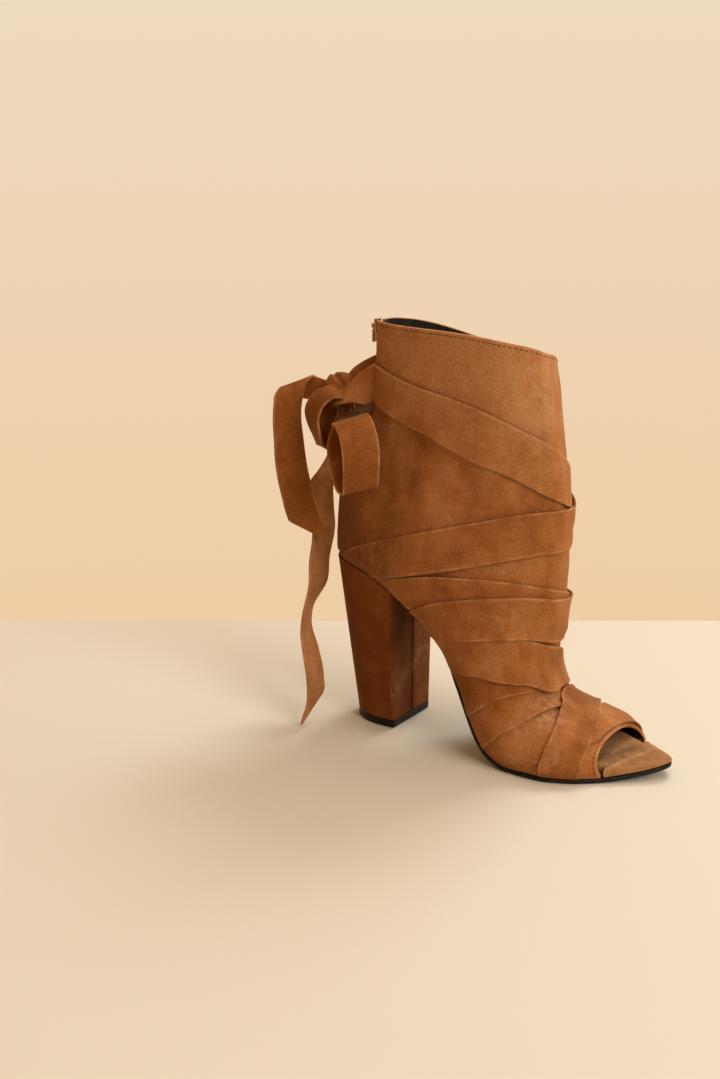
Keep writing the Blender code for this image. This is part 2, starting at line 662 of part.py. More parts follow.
def to_knot(grid, side):
    """Strap grid carried on from its last row to the knot, gathered as it goes."""
    last = grid[-1]
    share = np.linspace(-0.5, 0.5, len(last))
    entry = np.array(KNOT_AT) + np.array((KNOT_ENTRY, side, 0.0))
    entry = entry + share[:, None] * np.array((0.0, 0.0, KNOT_GATHER))
    leaving = last + unit(last - grid[-2]) * TIE_LEAVE
    t = np.array(TIE_STEPS)[:, None, None]
    more = last * (1 - t) ** 2 + 2 * leaving * t * (1 - t) + entry * t * t
    return np.concatenate((grid, more))


def build_straps(parts):
    rests = strap_rests()
    for layer, (name, rows) in enumerate(STRAPS):
        u, v = strap_grid(layer)
        lift = np.interp(u, LATTICE, rests[layer])
        base = surface(u, v, slot_at(v))
        out = outward(u, v)
        under = above_sole(base + out * lift[..., None])
        over = above_sole(base + out * (lift + STRAP_THICK)[..., None])
        if rows[0][0] == TIE_END:
            under = to_knot(under[::-1], -KNOT_SIDE + STRAP_THICK)[::-1]
            over = to_knot(over[::-1], -KNOT_SIDE)[::-1]
        if rows[-1][0] == 1 - TIE_END:
            under = to_knot(under, KNOT_SIDE - STRAP_THICK)
            over = to_knot(over, KNOT_SIDE)
        points, faces = skin_between(over, under)
        make_object(name, points, faces, "suede", parts)


def ribbon_rings(width, slant, rows, count):
    """Rings of a flat ribbon swept along its path.

    It is gathered where it leaves the knot.  A tail is cut on a slant, and a loop,
    which has no slant, comes back to the knot.
    """
    table = np.array(rows, float)
    length = np.concatenate(((0,), np.cumsum(np.linalg.norm(np.diff(table[:, :3], axis=0), axis=1))))
    placed = np.column_stack((length, table))
    at = np.linspace(0, length[-1], count)
    both = smooth(placed, at)
    path = both[:, :3]
    side = both[:, 3:]
    along = unit(np.gradient(path, axis=0))
    side = unit(side - along * np.sum(side * along, axis=1, keepdims=True))
    out = np.cross(along, side)
    loose = ramp(0, GATHER_LONG, at)
    if not slant:
        loose = ramp(0, LOOP_GATHER, at) * ramp(0, LOOP_GATHER, at[::-1])
    side = side * (GATHER + (1 - GATHER) * loose)[:, None]
    corners = ((-0.5, -0.5), (0.5, -0.5), (0.5, 0.5), (-0.5, 0.5))
    cut_from = length[-1] - CUT_LONG * abs(slant) - CUT_START
    sheared = along * (slant * ramp(cut_from, length[-1], at))[:, None]
    rings = [path + side * (a * width) + sheared * a + out * (b * RIBBON_THICK) for a, b in corners]
    return np.stack(rings, axis=1)


def build_bow(parts):
    turn = np.linspace(0, 2 * np.pi, 13)[:-1]
    rings = [np.stack((np.full(12, x), y * np.cos(turn), z * np.sin(turn)), -1) for x, y, z in KNOT_ROWS]
    points, faces = rings_body(np.array(rings) + np.array(KNOT_AT))
    make_object("bow_knot", points, faces, "suede", parts)
    for name, width, slant, rows in RIBBONS:
        points, faces = rings_body(ribbon_rings(width, slant, rows, 2 * len(rows) + 2))
        make_object(name, points, faces, "suede", parts)


def back_strip(y, v):
    """Points of the closed back seam, at a distance to each side of its middle."""
    u = np.linspace(0, BACK_REACH, 81)
    strip = surface(u[None, :], v[:, None])
    place = np.stack([np.interp(np.abs(y), -row[:, 1], u) for row in strip])
    rows = np.broadcast_to(v[:, None], place.shape)
    points = surface(place, rows)
    out = outward(np.maximum(place, 0.004), rows)
    side = np.where(y < 0, 1.0, -1.0)
    points[..., 1] = points[..., 1] * side
    out[..., 1] = out[..., 1] * side
    return points, out


def build_zip(parts, cutters):
    """Tape with its coil behind the slot, the slider and its hanging pull."""
    v = np.linspace(ZIP_ROW + ZIP_START, COLLAR_ROW - ZIP_STOP, 9)
    base = ZIP_COIL + COIL_SLOPE
    y = np.array((-ZIP_TAPE, -base, -ZIP_COIL, ZIP_COIL, base, ZIP_TAPE))
    points, out = back_strip(y, v)
    depth = np.full(len(y), WALL + ZIP_TAPE_GAP)
    raised = depth - ZIP_COIL_HIGH * (np.abs(y) <= ZIP_COIL)
    front = points - out * raised[None, :, None]
    back = points - out * (depth + ZIP_TAPE_THICK)[None, :, None]
    body, faces = skin_between(front, back)
    make_object("zip_tape", body, faces, "lining", parts)

    slider = make_box("zip_slider", SLIDER_AT, SLIDER_SIZE, parts)
    pin_x = SLIDER_AT[0] - SLIDER_SIZE[0] / 2 - PIN_BACK
    for name, side in (("cheek_outer", -1), ("cheek_inner", 1)):
        at = (SLIDER_AT[0] - (SLIDER_SIZE[0] + CHEEK_REACH - CHEEK_SINK) / 2,
              side * (CHEEK_APART + CHEEK_THICK) / 2, SLIDER_AT[2])
        join(slider, make_box(name, at, (CHEEK_REACH + CHEEK_SINK, CHEEK_THICK, CHEEK_TALL), cutters))
    pin_long = CHEEK_APART + CHEEK_THICK
    join(slider, make_rod("pin", (pin_x, 0, SLIDER_AT[2]), PIN_RADIUS, pin_long, cutters))

    pull = make_rod("zip_pull", (pin_x, 0, SLIDER_AT[2]), PULL_EYE, PULL_EYE_WIDE, parts)
    for name, wide, top, bottom in (("pull_neck", PULL_NECK, PULL_NECK_TOP, PULL_CLEAR + PULL_NECK_DEEP),
                                    ("pull_plate", PULL_WIDE, PULL_CLEAR, PULL_LONG)):
        at = (pin_x, 0, SLIDER_AT[2] - (top + bottom) / 2)
        join(pull, make_box(name, at, (PULL_THICK, wide, bottom - top), cutters))
    hole = make_rod("pull_hole", (pin_x, 0, SLIDER_AT[2]), PULL_HOLE, 2 * PULL_WIDE, cutters)
    join(pull, hole, "DIFFERENCE")
    pin = Vector((pin_x, 0, SLIDER_AT[2])) * MM
    pull.data.transform(Matrix.Translation(-pin))
    pull.location = pin


def make_box(name, at, size, collection):
    """Box with its long edges worn off a little."""
    half = np.array(size) / 2
    worn = min(half) * EDGE_WORN
    y, z = half[1], half[2]
    outline = np.array((
        (-y + worn, -z), (y - worn, -z), (y, -z + worn), (y, z - worn),
        (y - worn, z), (-y + worn, z), (-y, z - worn), (-y, -z + worn)))
    rings = [np.column_stack((np.full(8, x), outline)) for x in (-half[0], half[0])]
    points, faces = rings_body(np.array(rings) + np.array(at))
    return make_object(name, points, faces, "metal", collection)


def make_rod(name, at, radius, long, collection):
    """Round rod along Y."""
    turn = np.linspace(0, 2 * np.pi, 17)[:-1]
    rings = [np.stack((radius * np.cos(turn), np.full(16, y), radius * np.sin(turn)), -1)
             for y in (-long / 2, long / 2)]
    points, faces = rings_body(np.array(rings) + np.array(at))
    return make_object(name, points, faces, "metal", collection)


def join(obj, other, how="UNION"):
    """Boolean of a helper body into an object."""
    other.hide_render = True
    other.display_type = "WIRE"
    step = obj.modifiers.new(other.name, "BOOLEAN")
    step.operation = how
    step.solver = "EXACT"
    step.object = other


def build_materials():
    for name, colour in COLOURS.items():
        material = bpy.data.materials.new(name)
        material.use_nodes = True
        shader = material.node_tree.nodes["Principled BSDF"]
        shader.inputs["Base Color"].default_value = colour
        shader.inputs["Roughness"].default_value = 0.35 if name == "metal" else 0.85
        shader.inputs["Metallic"].default_value = 1.0 if name == "metal" else 0.0


def main():
    for obj in list(bpy.data.objects):
        bpy.data.objects.remove(obj, do_unlink=True)
    parts = bpy.data.collections.new("strappy_open_toe_bootie")
    bpy.context.scene.collection.children.link(parts)
    cutters = bpy.data.collections.new("helpers")
    bpy.context.scene.collection.children.link(cutters)
    build_materials()
    build_outsole(parts)
    build_insole(parts)
    build_heel(parts)
    build_upper(parts)
    build_straps(parts)
    build_zip(parts, cutters)
    build_bow(parts)


main()
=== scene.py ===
"""Looks of the strappy open toe bootie: suede upper, straps, bow, zip, heel and sole.

Tables are in millimetres in the part's own frame: +X to the toe, +Y to the inner side of
the foot, +Z up.  The upper is a surface of two parameters: v counts its sections from the
toe opening to the collar, and u runs round a section, 0 at the outer foot, 0.5 at the
ridge and 1 at the inner foot.
"""
import math

import bmesh
import bpy
import numpy as np
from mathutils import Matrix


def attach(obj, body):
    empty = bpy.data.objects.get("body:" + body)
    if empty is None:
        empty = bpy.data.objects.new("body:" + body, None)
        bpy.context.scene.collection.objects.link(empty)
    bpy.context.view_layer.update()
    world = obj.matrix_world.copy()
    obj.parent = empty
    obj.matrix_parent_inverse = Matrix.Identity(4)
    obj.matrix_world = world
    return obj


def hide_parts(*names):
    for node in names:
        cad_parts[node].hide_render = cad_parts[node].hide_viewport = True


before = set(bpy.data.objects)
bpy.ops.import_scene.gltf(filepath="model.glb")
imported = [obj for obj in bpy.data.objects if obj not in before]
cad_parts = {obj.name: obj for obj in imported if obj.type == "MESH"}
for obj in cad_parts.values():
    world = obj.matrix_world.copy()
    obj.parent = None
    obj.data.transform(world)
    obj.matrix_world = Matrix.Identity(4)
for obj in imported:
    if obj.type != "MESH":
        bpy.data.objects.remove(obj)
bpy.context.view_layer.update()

MM = 0.001
TINY = 1e-12
RIDGE = 0.5

# Sole and insole sizes
HEEL_X = -106.5
TOE_X = 108.5
HEEL_ROUND = 32.0
TOE_ROUND = 60.0
OUTSOLE_THICK = 2.4
OUTSOLE_EDGE = 0.7
WAIST_INSET = 5.0
WAIST_ENDS = (-6.0, -28.0)
REST_BACK = 30.0
REST_FRONT = 75.0
SEAT_GAP = 0.3
FOOT_INSET = 1.2
FOOT_TALL = 1.3
SEAT_INSET = 1.5
SEAT_ENDS = (-80.0, -95.0)
INSOLE_GAP = 1.3
INSOLE_EDGE = 1.8
OUTER_RIM_ENDS = (80.9, 79.8)
INNER_RIM_ENDS = (85.4, 84.3)
TOE_ROLL = 2.2
TOE_ROLL_ENDS = (80.0, 90.0)
TOE_ROLL_POWER = 6
TOE_SKEW = 4.5
TOE_TIP_GAP = 0.02
PLATE_LEAN = 2.0
PLATE_THIN = 0.05
PLATE_NEAR = 0.1
PLATE_CENTRE_HEEL = 1.0
PLATE_CENTRE_TOE = 26.0

# Heel sizes
BREAST_X = -57.5
BREAST_FADE = (0.6, 0.1)
BREAST_NEAR = 1.5
BREAST_CORNER = 1.6
TOP_PIECE_TALL = 5.0
TOP_PIECE_X = -72.0
HEEL_FOOT_CENTRE = -66.0
HEEL_FOOT_BACK = 26.5
HEEL_FOOT_HALF = 21.3
HEEL_FOOT_Y = 1.0
HEEL_TOP_CENTRE = -76.0
HEEL_TOP_GAP = 0.2
SEAM_WIDE = 0.55
SEAM_DEEP = 0.9

# Upper and strap sizes
WALL = 1.8
RIM_BULGE = 0.35
STRAP_THICK = 1.5
STRAP_GAP = 0.15
STRAP_CROWN = 0.06
STRAP_STAND = 0.6
STAND_WAVES = 21.0
STAND_WAVES_MORE = 3.0
STAND_PHASE = 2.1
STAND_SKEW = 1.5
STAND_POWER = 5
STRAP_OVER_SOLE = 0.35
STRAP_FOOT_GAP = 0.2
STRAP_FOOT_REACH = 6.0
SKIVE_LEFT = 0.45
SKIVE_RUN = 0.05
SKIVE_ROW = 9.5
TOE_PRESS = 0.65
TOE_PRESS_U = (0.58, 0.16)
TOE_PRESS_V = (1.6, 1.0)
FLAP_LIFT = 2.4
FLAP_RUN = 0.5
FLAP_BLEND = (0.10, 0.02)
BOW_PEAK = 6.75
COLLAR_DIP = 12.0
COLLAR_DIP_ENDS = (1.0, 0.70)
FLAP_DIP = 9.0
FLAP_DIP_ENDS = (0.42, 0.58)
DIP_ROW = 12.5
PANEL_DIP = 6.0
PANEL_DIP_ROW = 11.5
PANEL_DIP_WIDE = 0.05
THROAT = 3.4
THROAT_LONG = 0.6
THROAT_NOTCH = 0.012
SEAT_ROW = 9.0
CREASE_FADE = 0.7
CREASE_SHOWS = 0.5

# Zip and stitch sizes
ZIP_ROW = 10.4
ZIP_SLOT = 2.8
ZIP_SLOT_RUN = 0.25
TOOTH_START = 0.5
TOOTH_STOP = 0.15
TOOTH_SUNK = 0.5
TOOTH_PITCH = 1.15
TOOTH_LEAN = 0.25
SEAM_U = 0.004
STITCH_START = 0.5
STITCH_LONG = 2.1
STITCH_GAP = 0.9
STITCH_THICK = 0.45

# Bow sizes
RIBBON_THICK = 1.6
RIBBON_CUP = 0.15
GATHER_LONG = 14.0
GATHER_DEEP = 0.7
GATHER_WAVES = 1.3
SLANT_RUN = 1.5
SLANT_LEAD = 1.0
TIE_END = 0.04
TIE_TURN = 0.25
KNOT_AT = np.array((-106.0, -2.0, 198.0))

# Counts of points and steps
EGG_ROUNDS = 12
CREASE_STEPS = 10
BAND_ACROSS = 22
PANEL_ROWS = 211
OUTER_COLUMNS = 111
INNER_COLUMNS = 85
RINGS_ROUND = 260
RINGS_LEAST = 8
TIE_RINGS = 29
RIBBON_RINGS = 230
KNOT_RINGS = 48
KNOT_SIDES = 64
PLATE_EDGE_STEPS = 9
PLATE_FLAT_STEPS = 13
WAIST_STEPS = 90
TOE_STEPS = 44
SEAT_STEPS = 40
HEEL_BACK_STEPS = 65
HEEL_BREAST_STEPS = 49
HEEL_AROUND = 240
HEEL_LEVELS = 61
CORNER_REACH = 3
LINE_STEPS = 200
ZIP_STEPS = 400
STITCH_SIDES = 6
TOOTH_SIDES = 8

# Mesh edges
MERGE_NEAR = 1e-6
SHARP_ANGLE = 50.0
ALL_SMOOTH = 180.0

# Rubs, tones and stains of the upper, the straps and the bow, with painted shade on the bow and along the
# straps' lower edges
RIM_RUB = 1.0
RIM_RUB_BEHIND = 0.6
FREE_EDGE_RUB = 0.5
STRAP_RUB_FROM = 0.90
RIBBON_RUB_FROM = 0.88
LOOP_PAINTED_SHADE = -0.65
KNOT_PAINTED_SHADE = -0.9
GATHER_PAINTED_SHADE = 0.6
SHADE_FADE = 12.0
# The straps' cut edges are darker; on the lower edges the darkening reaches higher as painted shade
CUT_STAIN_AND_SHADE = 0.8
CUT_LOWER_TOP = 0.95
CUT_UPPER_TOP = 0.7

# Rubs, tones and stains of the insole and the heel, with painted shade under the insole's toe rim and
# painted shade and painted light on the heel's breast
TOE_RUB = 0.15
TOE_RUB_ENDS = (84.0, 104.0)
STREAK_RUB = 1.2
STREAK_OUTER_ENDS = (-30.0, -23.0)
STREAK_INNER_ENDS = (20.0, 8.0)
AHEAD_TONE = -0.8
AHEAD_ENDS = (0.0, 4.0)
BEHIND_TONE = -0.3
BEHIND_ENDS = (-1.0, -4.0)
# Painted shade over the heel's breast, painted light on its inner half and a pale rub there that is partly
# painted light
BREAST_PAINTED_SHADE = -0.2
BREAST_INNER_PAINTED_LIGHT = 2.4
BREAST_INNER_RUB_AND_LIGHT = 0.22
BREAST_INNER_ENDS = (1.0, 9.0)
CORNER_RUB = 0.3
CORNER_ENDS = (12.0, 19.0)
SCRAPE_RUB = 0.5
SCRAPE_Z = 34.0
SCRAPE_LEAN = 0.5
SCRAPE_TALL = 7.0
# Darker patch high on the outer half of the heel's breast
BREAST_DARK_PATCH = 0.5
BREAST_DARK_Z = 62.0
BREAST_DARK_TALL = 20.0
BREAST_DARK_Y = -8.0

# Half-widths of the sole before its ends are rounded: x, outer side, inner side, centre line
SOLE_ROWS = np.array((
    (-107, 24.0, 24.0, 0.0), (-95, 25.5, 25.5, 0.0), (-60, 26.0, 25.0, 0.0), (-30, 26.5, 22.5, 0.0),
    (-10, 30.0, 24.5, 0.0), (10, 37.5, 31.0, 0.0), (26, 41.0, 37.0, 0.0), (48, 43.0, 42.0, 0.5),
    (62, 41.0, 40.5, 1.5), (80, 34.5, 33.5, 3.0), (95, 28.0, 27.0, 4.0), (110, 20.0, 19.0, 4.0)))

# Line where the suede meets the sole: x, height
FEATHER_ROWS = np.array((
    (-107, 100.0), (-95, 100.0), (-80, 97.5), (-65, 91.0), (-50, 81.5), (-35, 70.0), (-20, 56.0),
    (-8, 39.0), (0, 25.5), (8, 14.0), (17, 6.0), (30, 2.4), (75, 2.4), (92, 4.2), (110, 8.4)))

# Thickness of the padded insole: x, thickness
INSOLE_ROWS = np.array(((-107, 3.0), (20, 3.0), (60, 4.5), (84, 5.2), (110, 3.6)))

# Sections of the upper from the toe opening to the collar: foot x, rise, ridge x, ridge z, ridge y,
# outer half, inner half, fullness, egg, outer bow at the front, inner bow at the back
SECTION_ROWS = np.array((
    (79.5, 0, 73.8, 18.3, 4.5, 29.8, 29.8, 0.85, 0.0, 0, 0),
    (64, 0, 68.0, 23.5, 3.0, 39.5, 40.0, 0.95, 0.0, 0, 0),
    (46, 0, 52.5, 29.0, 3.0, 43.8, 42.5, 1.00, 0.0, 0, 0),
    (26, 0, 38.0, 36.5, 2.0, 42.5, 39.0, 1.00, 0.0, 0, 0),
    (8, 0, 34.0, 56.0, 1.0, 40.0, 35.0, 0.95, 0.0, 0, 0),
    (-10, 0, 35.0, 76.0, 0.0, 36.5, 32.0, 0.92, 0.0, 0, 0),
    (-32, 0, 38.0, 97.0, 0.0, 34.0, 31.0, 0.90, 0.0, 0, 0),
    (-60, 0, 39.5, 118.0, 0.0, 32.0, 30.5, 0.90, 0.0, 0, 0),
    (-87, 0, 39.3, 134.0, 0.0, 30.5, 29.5, 0.87, 0.00, 0, 0),
    (-106.5, 0, 38.3, 147.0, 0.0, 29.0, 28.5, 0.82, 0.03, 0, 0),
    (-108, 12, 37.0, 160.0, 0.0, 28.0, 27.5, 0.83, -0.10, 0, 0),
    (-107, 34, 34.7, 178.0, 0.0, 26.5, 26.5, 0.84, -0.26, 0, 0),
    (-96, 62, 31.7, 196.5, 0.0, 25.0, 25.0, 0.84, -0.40, 1, 0),
    (-82.5, 98, 29.2, 214.5, 0.0, 24.5, 24.5, 0.82, -0.45, 2.5, 2),
    (-81, 142, 26.4, 233.6, 0.0, 24.5, 24.5, 0.80, -0.50, 3.5, 7)))
COLLAR_ROW = len(SECTION_ROWS) - 1.0
SECTIONS = np.column_stack((np.arange(len(SECTION_ROWS)), SECTION_ROWS))

# Free edge of the front flap and hidden edge under it: section, joined place, flap reach, panel reach
FLAP_ROWS = np.array((
    (0.0, 0.555, 0.0, 0.0), (THROAT, 0.555, 0.0, 0.0), (THROAT + THROAT_LONG, 0.555, 0.0, 0.0),
    (THROAT + 1.6, 0.560, 0.012, 0.030), (9.0, 0.570, 0.020, 0.060), (COLLAR_ROW, 0.575, 0.060, 0.080)))

# Strap bands, lowest layer first: name, tone, then rows of place round the section, lower edge, upper edge
STRAPS = (
    ("strap_toe_inner", -0.3, (
        (0.28, 0.82, 0.95), (0.33, 0.58, 1.05), (0.37, 0.40, 1.18), (0.46, 0.36, 1.45), (0.54, 0.28, 1.65),
        (0.61, 0.18, 1.75), (0.75, 0.10, 1.85), (0.90, 0.16, 1.90), (1.00, 0.36, 1.90))),
    ("strap_vamp_low", -0.4, (
        (0.00, 2.38, 3.75), (0.11, 1.86, 3.60), (0.20, 1.70, 3.30), (0.31, 1.72, 2.95),
        (0.44, 2.05, 2.40))),
    ("strap_vamp_mid", -0.25, (
        (0.00, 3.66, 4.45), (0.15, 3.38, 4.35), (0.31, 2.82, 3.85), (0.45, 2.25, 3.20))),
    ("strap_vamp_high", -0.4, (
        (0.00, 4.36, 5.25), (0.18, 4.18, 4.95), (0.33, 3.66, 4.25), (0.48, 3.08, 3.50))),
    ("strap_instep_low", -0.15, (
        (0.00, 5.22, 5.78), (0.16, 4.78, 5.60), (0.30, 4.06, 5.30), (0.49, 3.04, 4.45),
        (0.56, 3.06, 4.25), (0.64, 3.18, 4.14), (0.80, 3.42, 4.25), (1.00, 3.75, 4.40))),
    ("strap_toe_cross", -0.5, (
        (0.00, 0.64, 1.82), (0.21, 0.60, 1.90), (0.42, 0.98, 2.36), (0.57, 1.46, 2.96),
        (0.70, 1.90, 3.02), (0.85, 2.25, 3.20), (1.00, 2.40, 3.25))),
    ("strap_instep_high", -0.2, (
        (0.00, 6.46, 7.28), (0.13, 6.30, 7.20), (0.21, 6.10, 7.00), (0.31, 5.70, 6.68),
        (0.40, 5.35, 6.36), (0.57, 4.90, 5.86), (0.70, 4.65, 5.50), (0.85, 4.50, 5.25),
        (1.00, 4.55, 5.15))),
    ("strap_instep_mid", -0.25, (
        (0.00, 5.80, 6.43), (0.12, 5.60, 6.54), (0.20, 5.47, 6.48), (0.31, 5.20, 6.30),
        (0.54, 4.52, 5.85), (0.66, 4.62, 6.00), (0.80, 5.00, 6.40), (1.00, 5.50, 6.60))),
    ("ankle_tie_inner", 0.1, (
        (TIE_END, 12.92, 13.46), (0.07, 12.84, 13.42), (0.22, 12.15, 13.00), (0.32, 11.20, 12.50),
        (0.41, 10.20, 11.75), (0.46, 9.45, 11.25), (0.51, 8.80, 10.65), (0.56, 8.30, 10.20),
        (0.60, 7.90, 9.80), (0.66, 7.50, 9.40), (0.80, 7.25, 9.20), (0.90, 7.26, 8.90),
        (1.00, 7.28, 8.25))),
    ("ankle_tie_outer", -0.15, (
        (0.00, 7.28, 8.25), (0.10, 7.27, 8.90), (0.20, 7.26, 9.30), (0.36, 7.24, 9.16),
        (0.51, 7.18, 8.85), (0.56, 7.55, 9.40), (0.60, 8.40, 10.20), (0.66, 9.50, 11.00),
        (0.78, 11.30, 12.30), (0.93, 12.96, 13.52), (1 - TIE_END, 13.06, 13.58))),
)

# Knot of the bow: distance along X from its middle, half-width, half-height
KNOT_ROWS = np.array((
    (-9.5, 5.0, 7.0), (-7.5, 7.5, 9.5), (-2.0, 8.5, 11.0), (4.0, 8.0, 10.5), (8.0, 6.5, 8.5)))
# Folds wound round the knot: place round it, turn per millimetre, half-width, depth
KNOT_FOLDS = ((2.2, 0.10, 0.22, 1.6), (4.3, 0.09, 0.25, 1.3), (0.3, 0.12, 0.20, 1.2))

# Each ribbon of the bow is a loop that goes back through the knot and comes out as a tail, and each
# ankle tie runs on to the knot: rows of x, y, z, the direction of the width, and the width
LOOP_NEAR = (
    (-96.4, 3.7, 192.4, 0.83, 0.56, 0.06, 17.0), (-92.8, -2.9, 188.2, 0.81, 0.57, 0.14, 20.5),
    (-90.8, -12.4, 184.6, 0.79, 0.58, 0.21, 20.5), (-87.3, -21.4, 184.3, 0.77, 0.58, 0.26, 21.0),
    (-83.7, -28.1, 186.8, 0.76, 0.58, 0.28, 21.3), (-79.5, -31.6, 186.7, 0.77, 0.58, 0.27, 21.8),
    (-74.1, -34.0, 179.8, 0.79, 0.58, 0.20, 21.8), (-70.8, -35.8, 167.4, 0.81, 0.57, 0.15, 21.8),
    (-69.9, -37.5, 154.7, 0.79, 0.58, 0.21, 21.5), (-70.9, -36.8, 148.9, 0.78, 0.58, 0.23, 21.3),
    (-74.6, -35.7, 148.5, 0.79, 0.58, 0.21, 21), (-79.5, -34.0, 154.1, 0.80, 0.57, 0.16, 20.5),
    (-85.5, -30.0, 163.2, 0.81, 0.57, 0.13, 20), (-89.8, -25.6, 170.3, 0.82, 0.57, 0.11, 19),
    (-94.3, -17.7, 179.1, 0.82, 0.57, 0.11, 16), (-99.0, -8.6, 186.2, 0.82, 0.57, 0.11, 11))
LOOP_FAR = (
    (-100.8, -4.8, 198.0, 0.66, -0.36, -0.66, 12), (-101.5, -11.1, 199.1, 0.75, -0.46, -0.48, 14),
    (-104.8, -14.5, 199.0, 0.79, -0.53, -0.30, 16), (-110.8, -15.7, 195.9, 0.90, -0.43, -0.13, 18),
    (-116.0, -16.9, 189.1, 0.91, -0.41, 0.04, 18.5), (-117.1, -17.3, 182.4, 0.85, -0.52, -0.03, 18.5),
    (-115.8, -17.0, 176.8, 0.82, -0.57, 0.00, 18), (-114.1, -16.4, 171.5, 0.75, -0.65, 0.08, 17),
    (-112.6, -15.1, 166.6, 0.79, -0.61, 0.04, 16), (-112.4, -12.2, 165.5, 0.95, -0.28, -0.16, 16),
    (-113.3, -8.6, 170.9, 0.97, 0.05, -0.26, 16.5), (-113.1, -5.1, 177.6, 0.90, 0.31, -0.29, 16.5),
    (-111.7, -2.4, 185.2, 0.84, 0.44, -0.33, 15), (-108.6, -1.6, 190.9, 0.83, 0.43, -0.36, 12))
TAIL_ARCHED = (
    (-113.4, -3.0, 198.4, -0.08, 0.25, 0.96, 9), (-121.2, -1.0, 197.5, 0.12, 0.37, 0.92, 12),
    (-129.2, 0.0, 197.2, 0.48, 0.40, 0.78, 16), (-134.9, -1.4, 198.7, 0.70, 0.49, 0.53, 19.5),
    (-135.3, -6.4, 201.2, 0.73, 0.59, 0.35, 20.5), (-136.0, -12.2, 198.0, 0.56, 0.80, 0.22, 20.5),
    (-136.2, -15.4, 190.3, 0.42, 0.91, -0.02, 19.7), (-136.1, -16.6, 180.7, 0.43, 0.90, -0.05, 19.5),
    (-135, -17, 170, 0.50, 0.86, 0.05, 19.3), (-131, -20, 153, 0.66, 0.72, 0.18, 19.3),
    (-125, -21, 133, 0.70, 0.66, 0.25, 19.5), (-118, -21, 114, 0.72, 0.64, 0.28, 19.5))
TAIL_HANGING = (
    (-108.5, 3, 187.3, 0.30, 0.95, 0.00, 9), (-109.5, 5, 172, 0.30, 0.95, 0.00, 19),
    (-111, 4, 160, 0.30, 0.95, 0.00, 20), (-116, 2, 150, 0.30, 0.95, 0.00, 20),
    (-122, -1, 140, 0.30, 0.95, 0.00, 20), (-121, -3, 126, 0.25, 0.97, 0.00, 20),
    (-118, -5, 112, 0.15, 0.98, 0.00, 20), (-118, -10, 93, 0.05, 0.99, 0.00, 20),
    (-117, -13, 80, 0.00, 0.99, 0.00, 20), (-120.7, -19, 63, -0.30, 0.95, 0.00, 20),
    (-120, -22, 54, -0.30, 0.95, 0.00, 20), (-113, -27, 39.5, -0.15, 0.98, 0.00, 20),
    (-107.5, -31, 28, -0.10, 0.98, 0.00, 20), (-105.5, -34, 15, -0.10, 0.98, 0.00, 20),
    (-106, -36.5, 8, -0.10, 0.99, 0.00, 20))
TIE_INNER = (
    (-85.0, -8.9, 203.3, -0.09, 0.25, 0.96, 21), (-91.2, -9.7, 201.9, -0.03, 0.41, 0.91, 18.5),
    (-96.4, -10.7, 199.5, 0.11, 0.56, 0.82, 16.5), (-101.1, -10.1, 197.2, 0.18, 0.60, 0.78, 15),
    (-104.7, -6.9, 195.6, 0.23, 0.57, 0.79, 13), (-105.4, -1.0, 195.9, 0.31, 0.46, 0.83, 10))
TIE_OUTER = (
    (-88.2, 2.9, 208.2, -0.21, 0.17, 0.96, 21), (-92.5, 2.1, 206.7, -0.24, 0.15, 0.96, 19),
    (-97.8, 0.4, 204.1, -0.29, 0.12, 0.95, 16), (-101.9, -0.9, 201.0, -0.32, 0.09, 0.94, 12),
    (-105.1, -1.3, 198.3, -0.36, 0.06, 0.93, 9))
THROUGH_KNOT = tuple(KNOT_AT) + (0.3, 0.9, 0.2, 9.0)
# The two ribbons: name, width, slant of the cut end, loop, tail, tone of the tail, which on the arched tail
# is painted shade, length of the loop's start that is painted in shade, less than nothing where none is,
# and the nodes that they stand for
RIBBONS = (
    ("bow_ribbon_near", 21.0, 19.0, LOOP_NEAR, TAIL_ARCHED, -0.7, 16.0,
     ("bow_loop_near", "bow_tail_arched")),
    ("bow_ribbon_far", 20.0, -14.0, LOOP_FAR, TAIL_HANGING, 0.4, -SHADE_FADE,
     ("bow_loop_far", "bow_tail_hanging")))

# Main creases of the upper: its start, the place that it bends towards and its end, each as u, v,
# then its half-width and depth
CREASES = (
    (0.225, 11.3, 0.215, 10.8, 0.228, 10.2, 3.5, 2.2),
    (0.250, 11.0, 0.250, 10.6, 0.262, 10.1, 5.0, -1.6),
    (0.290, 11.3, 0.305, 10.8, 0.330, 9.9, 6.0, 2.1),
    (0.330, 11.4, 0.350, 10.9, 0.385, 10.0, 6.0, -1.3),
    (0.12, 11.2, 0.16, 10.6, 0.19, 9.7, 6.0, 1.9),
    (0.05, 9.7, 0.16, 9.75, 0.30, 9.55, 5.0, 1.1),
    (0.14, 12.2, 0.24, 11.7, 0.34, 10.9, 7.0, 0.9),
    (0.12, 13.4, 0.22, 13.5, 0.34, 13.1, 8.0, 0.8),
    (0.90, 10.9, 0.84, 10.4, 0.80, 9.6, 5.0, 1.4),
    (0.88, 12.0, 0.80, 11.2, 0.70, 10.2, 7.0, 1.1),
    (0.76, 11.2, 0.74, 10.6, 0.73, 9.9, 5.5, -1.0),
)
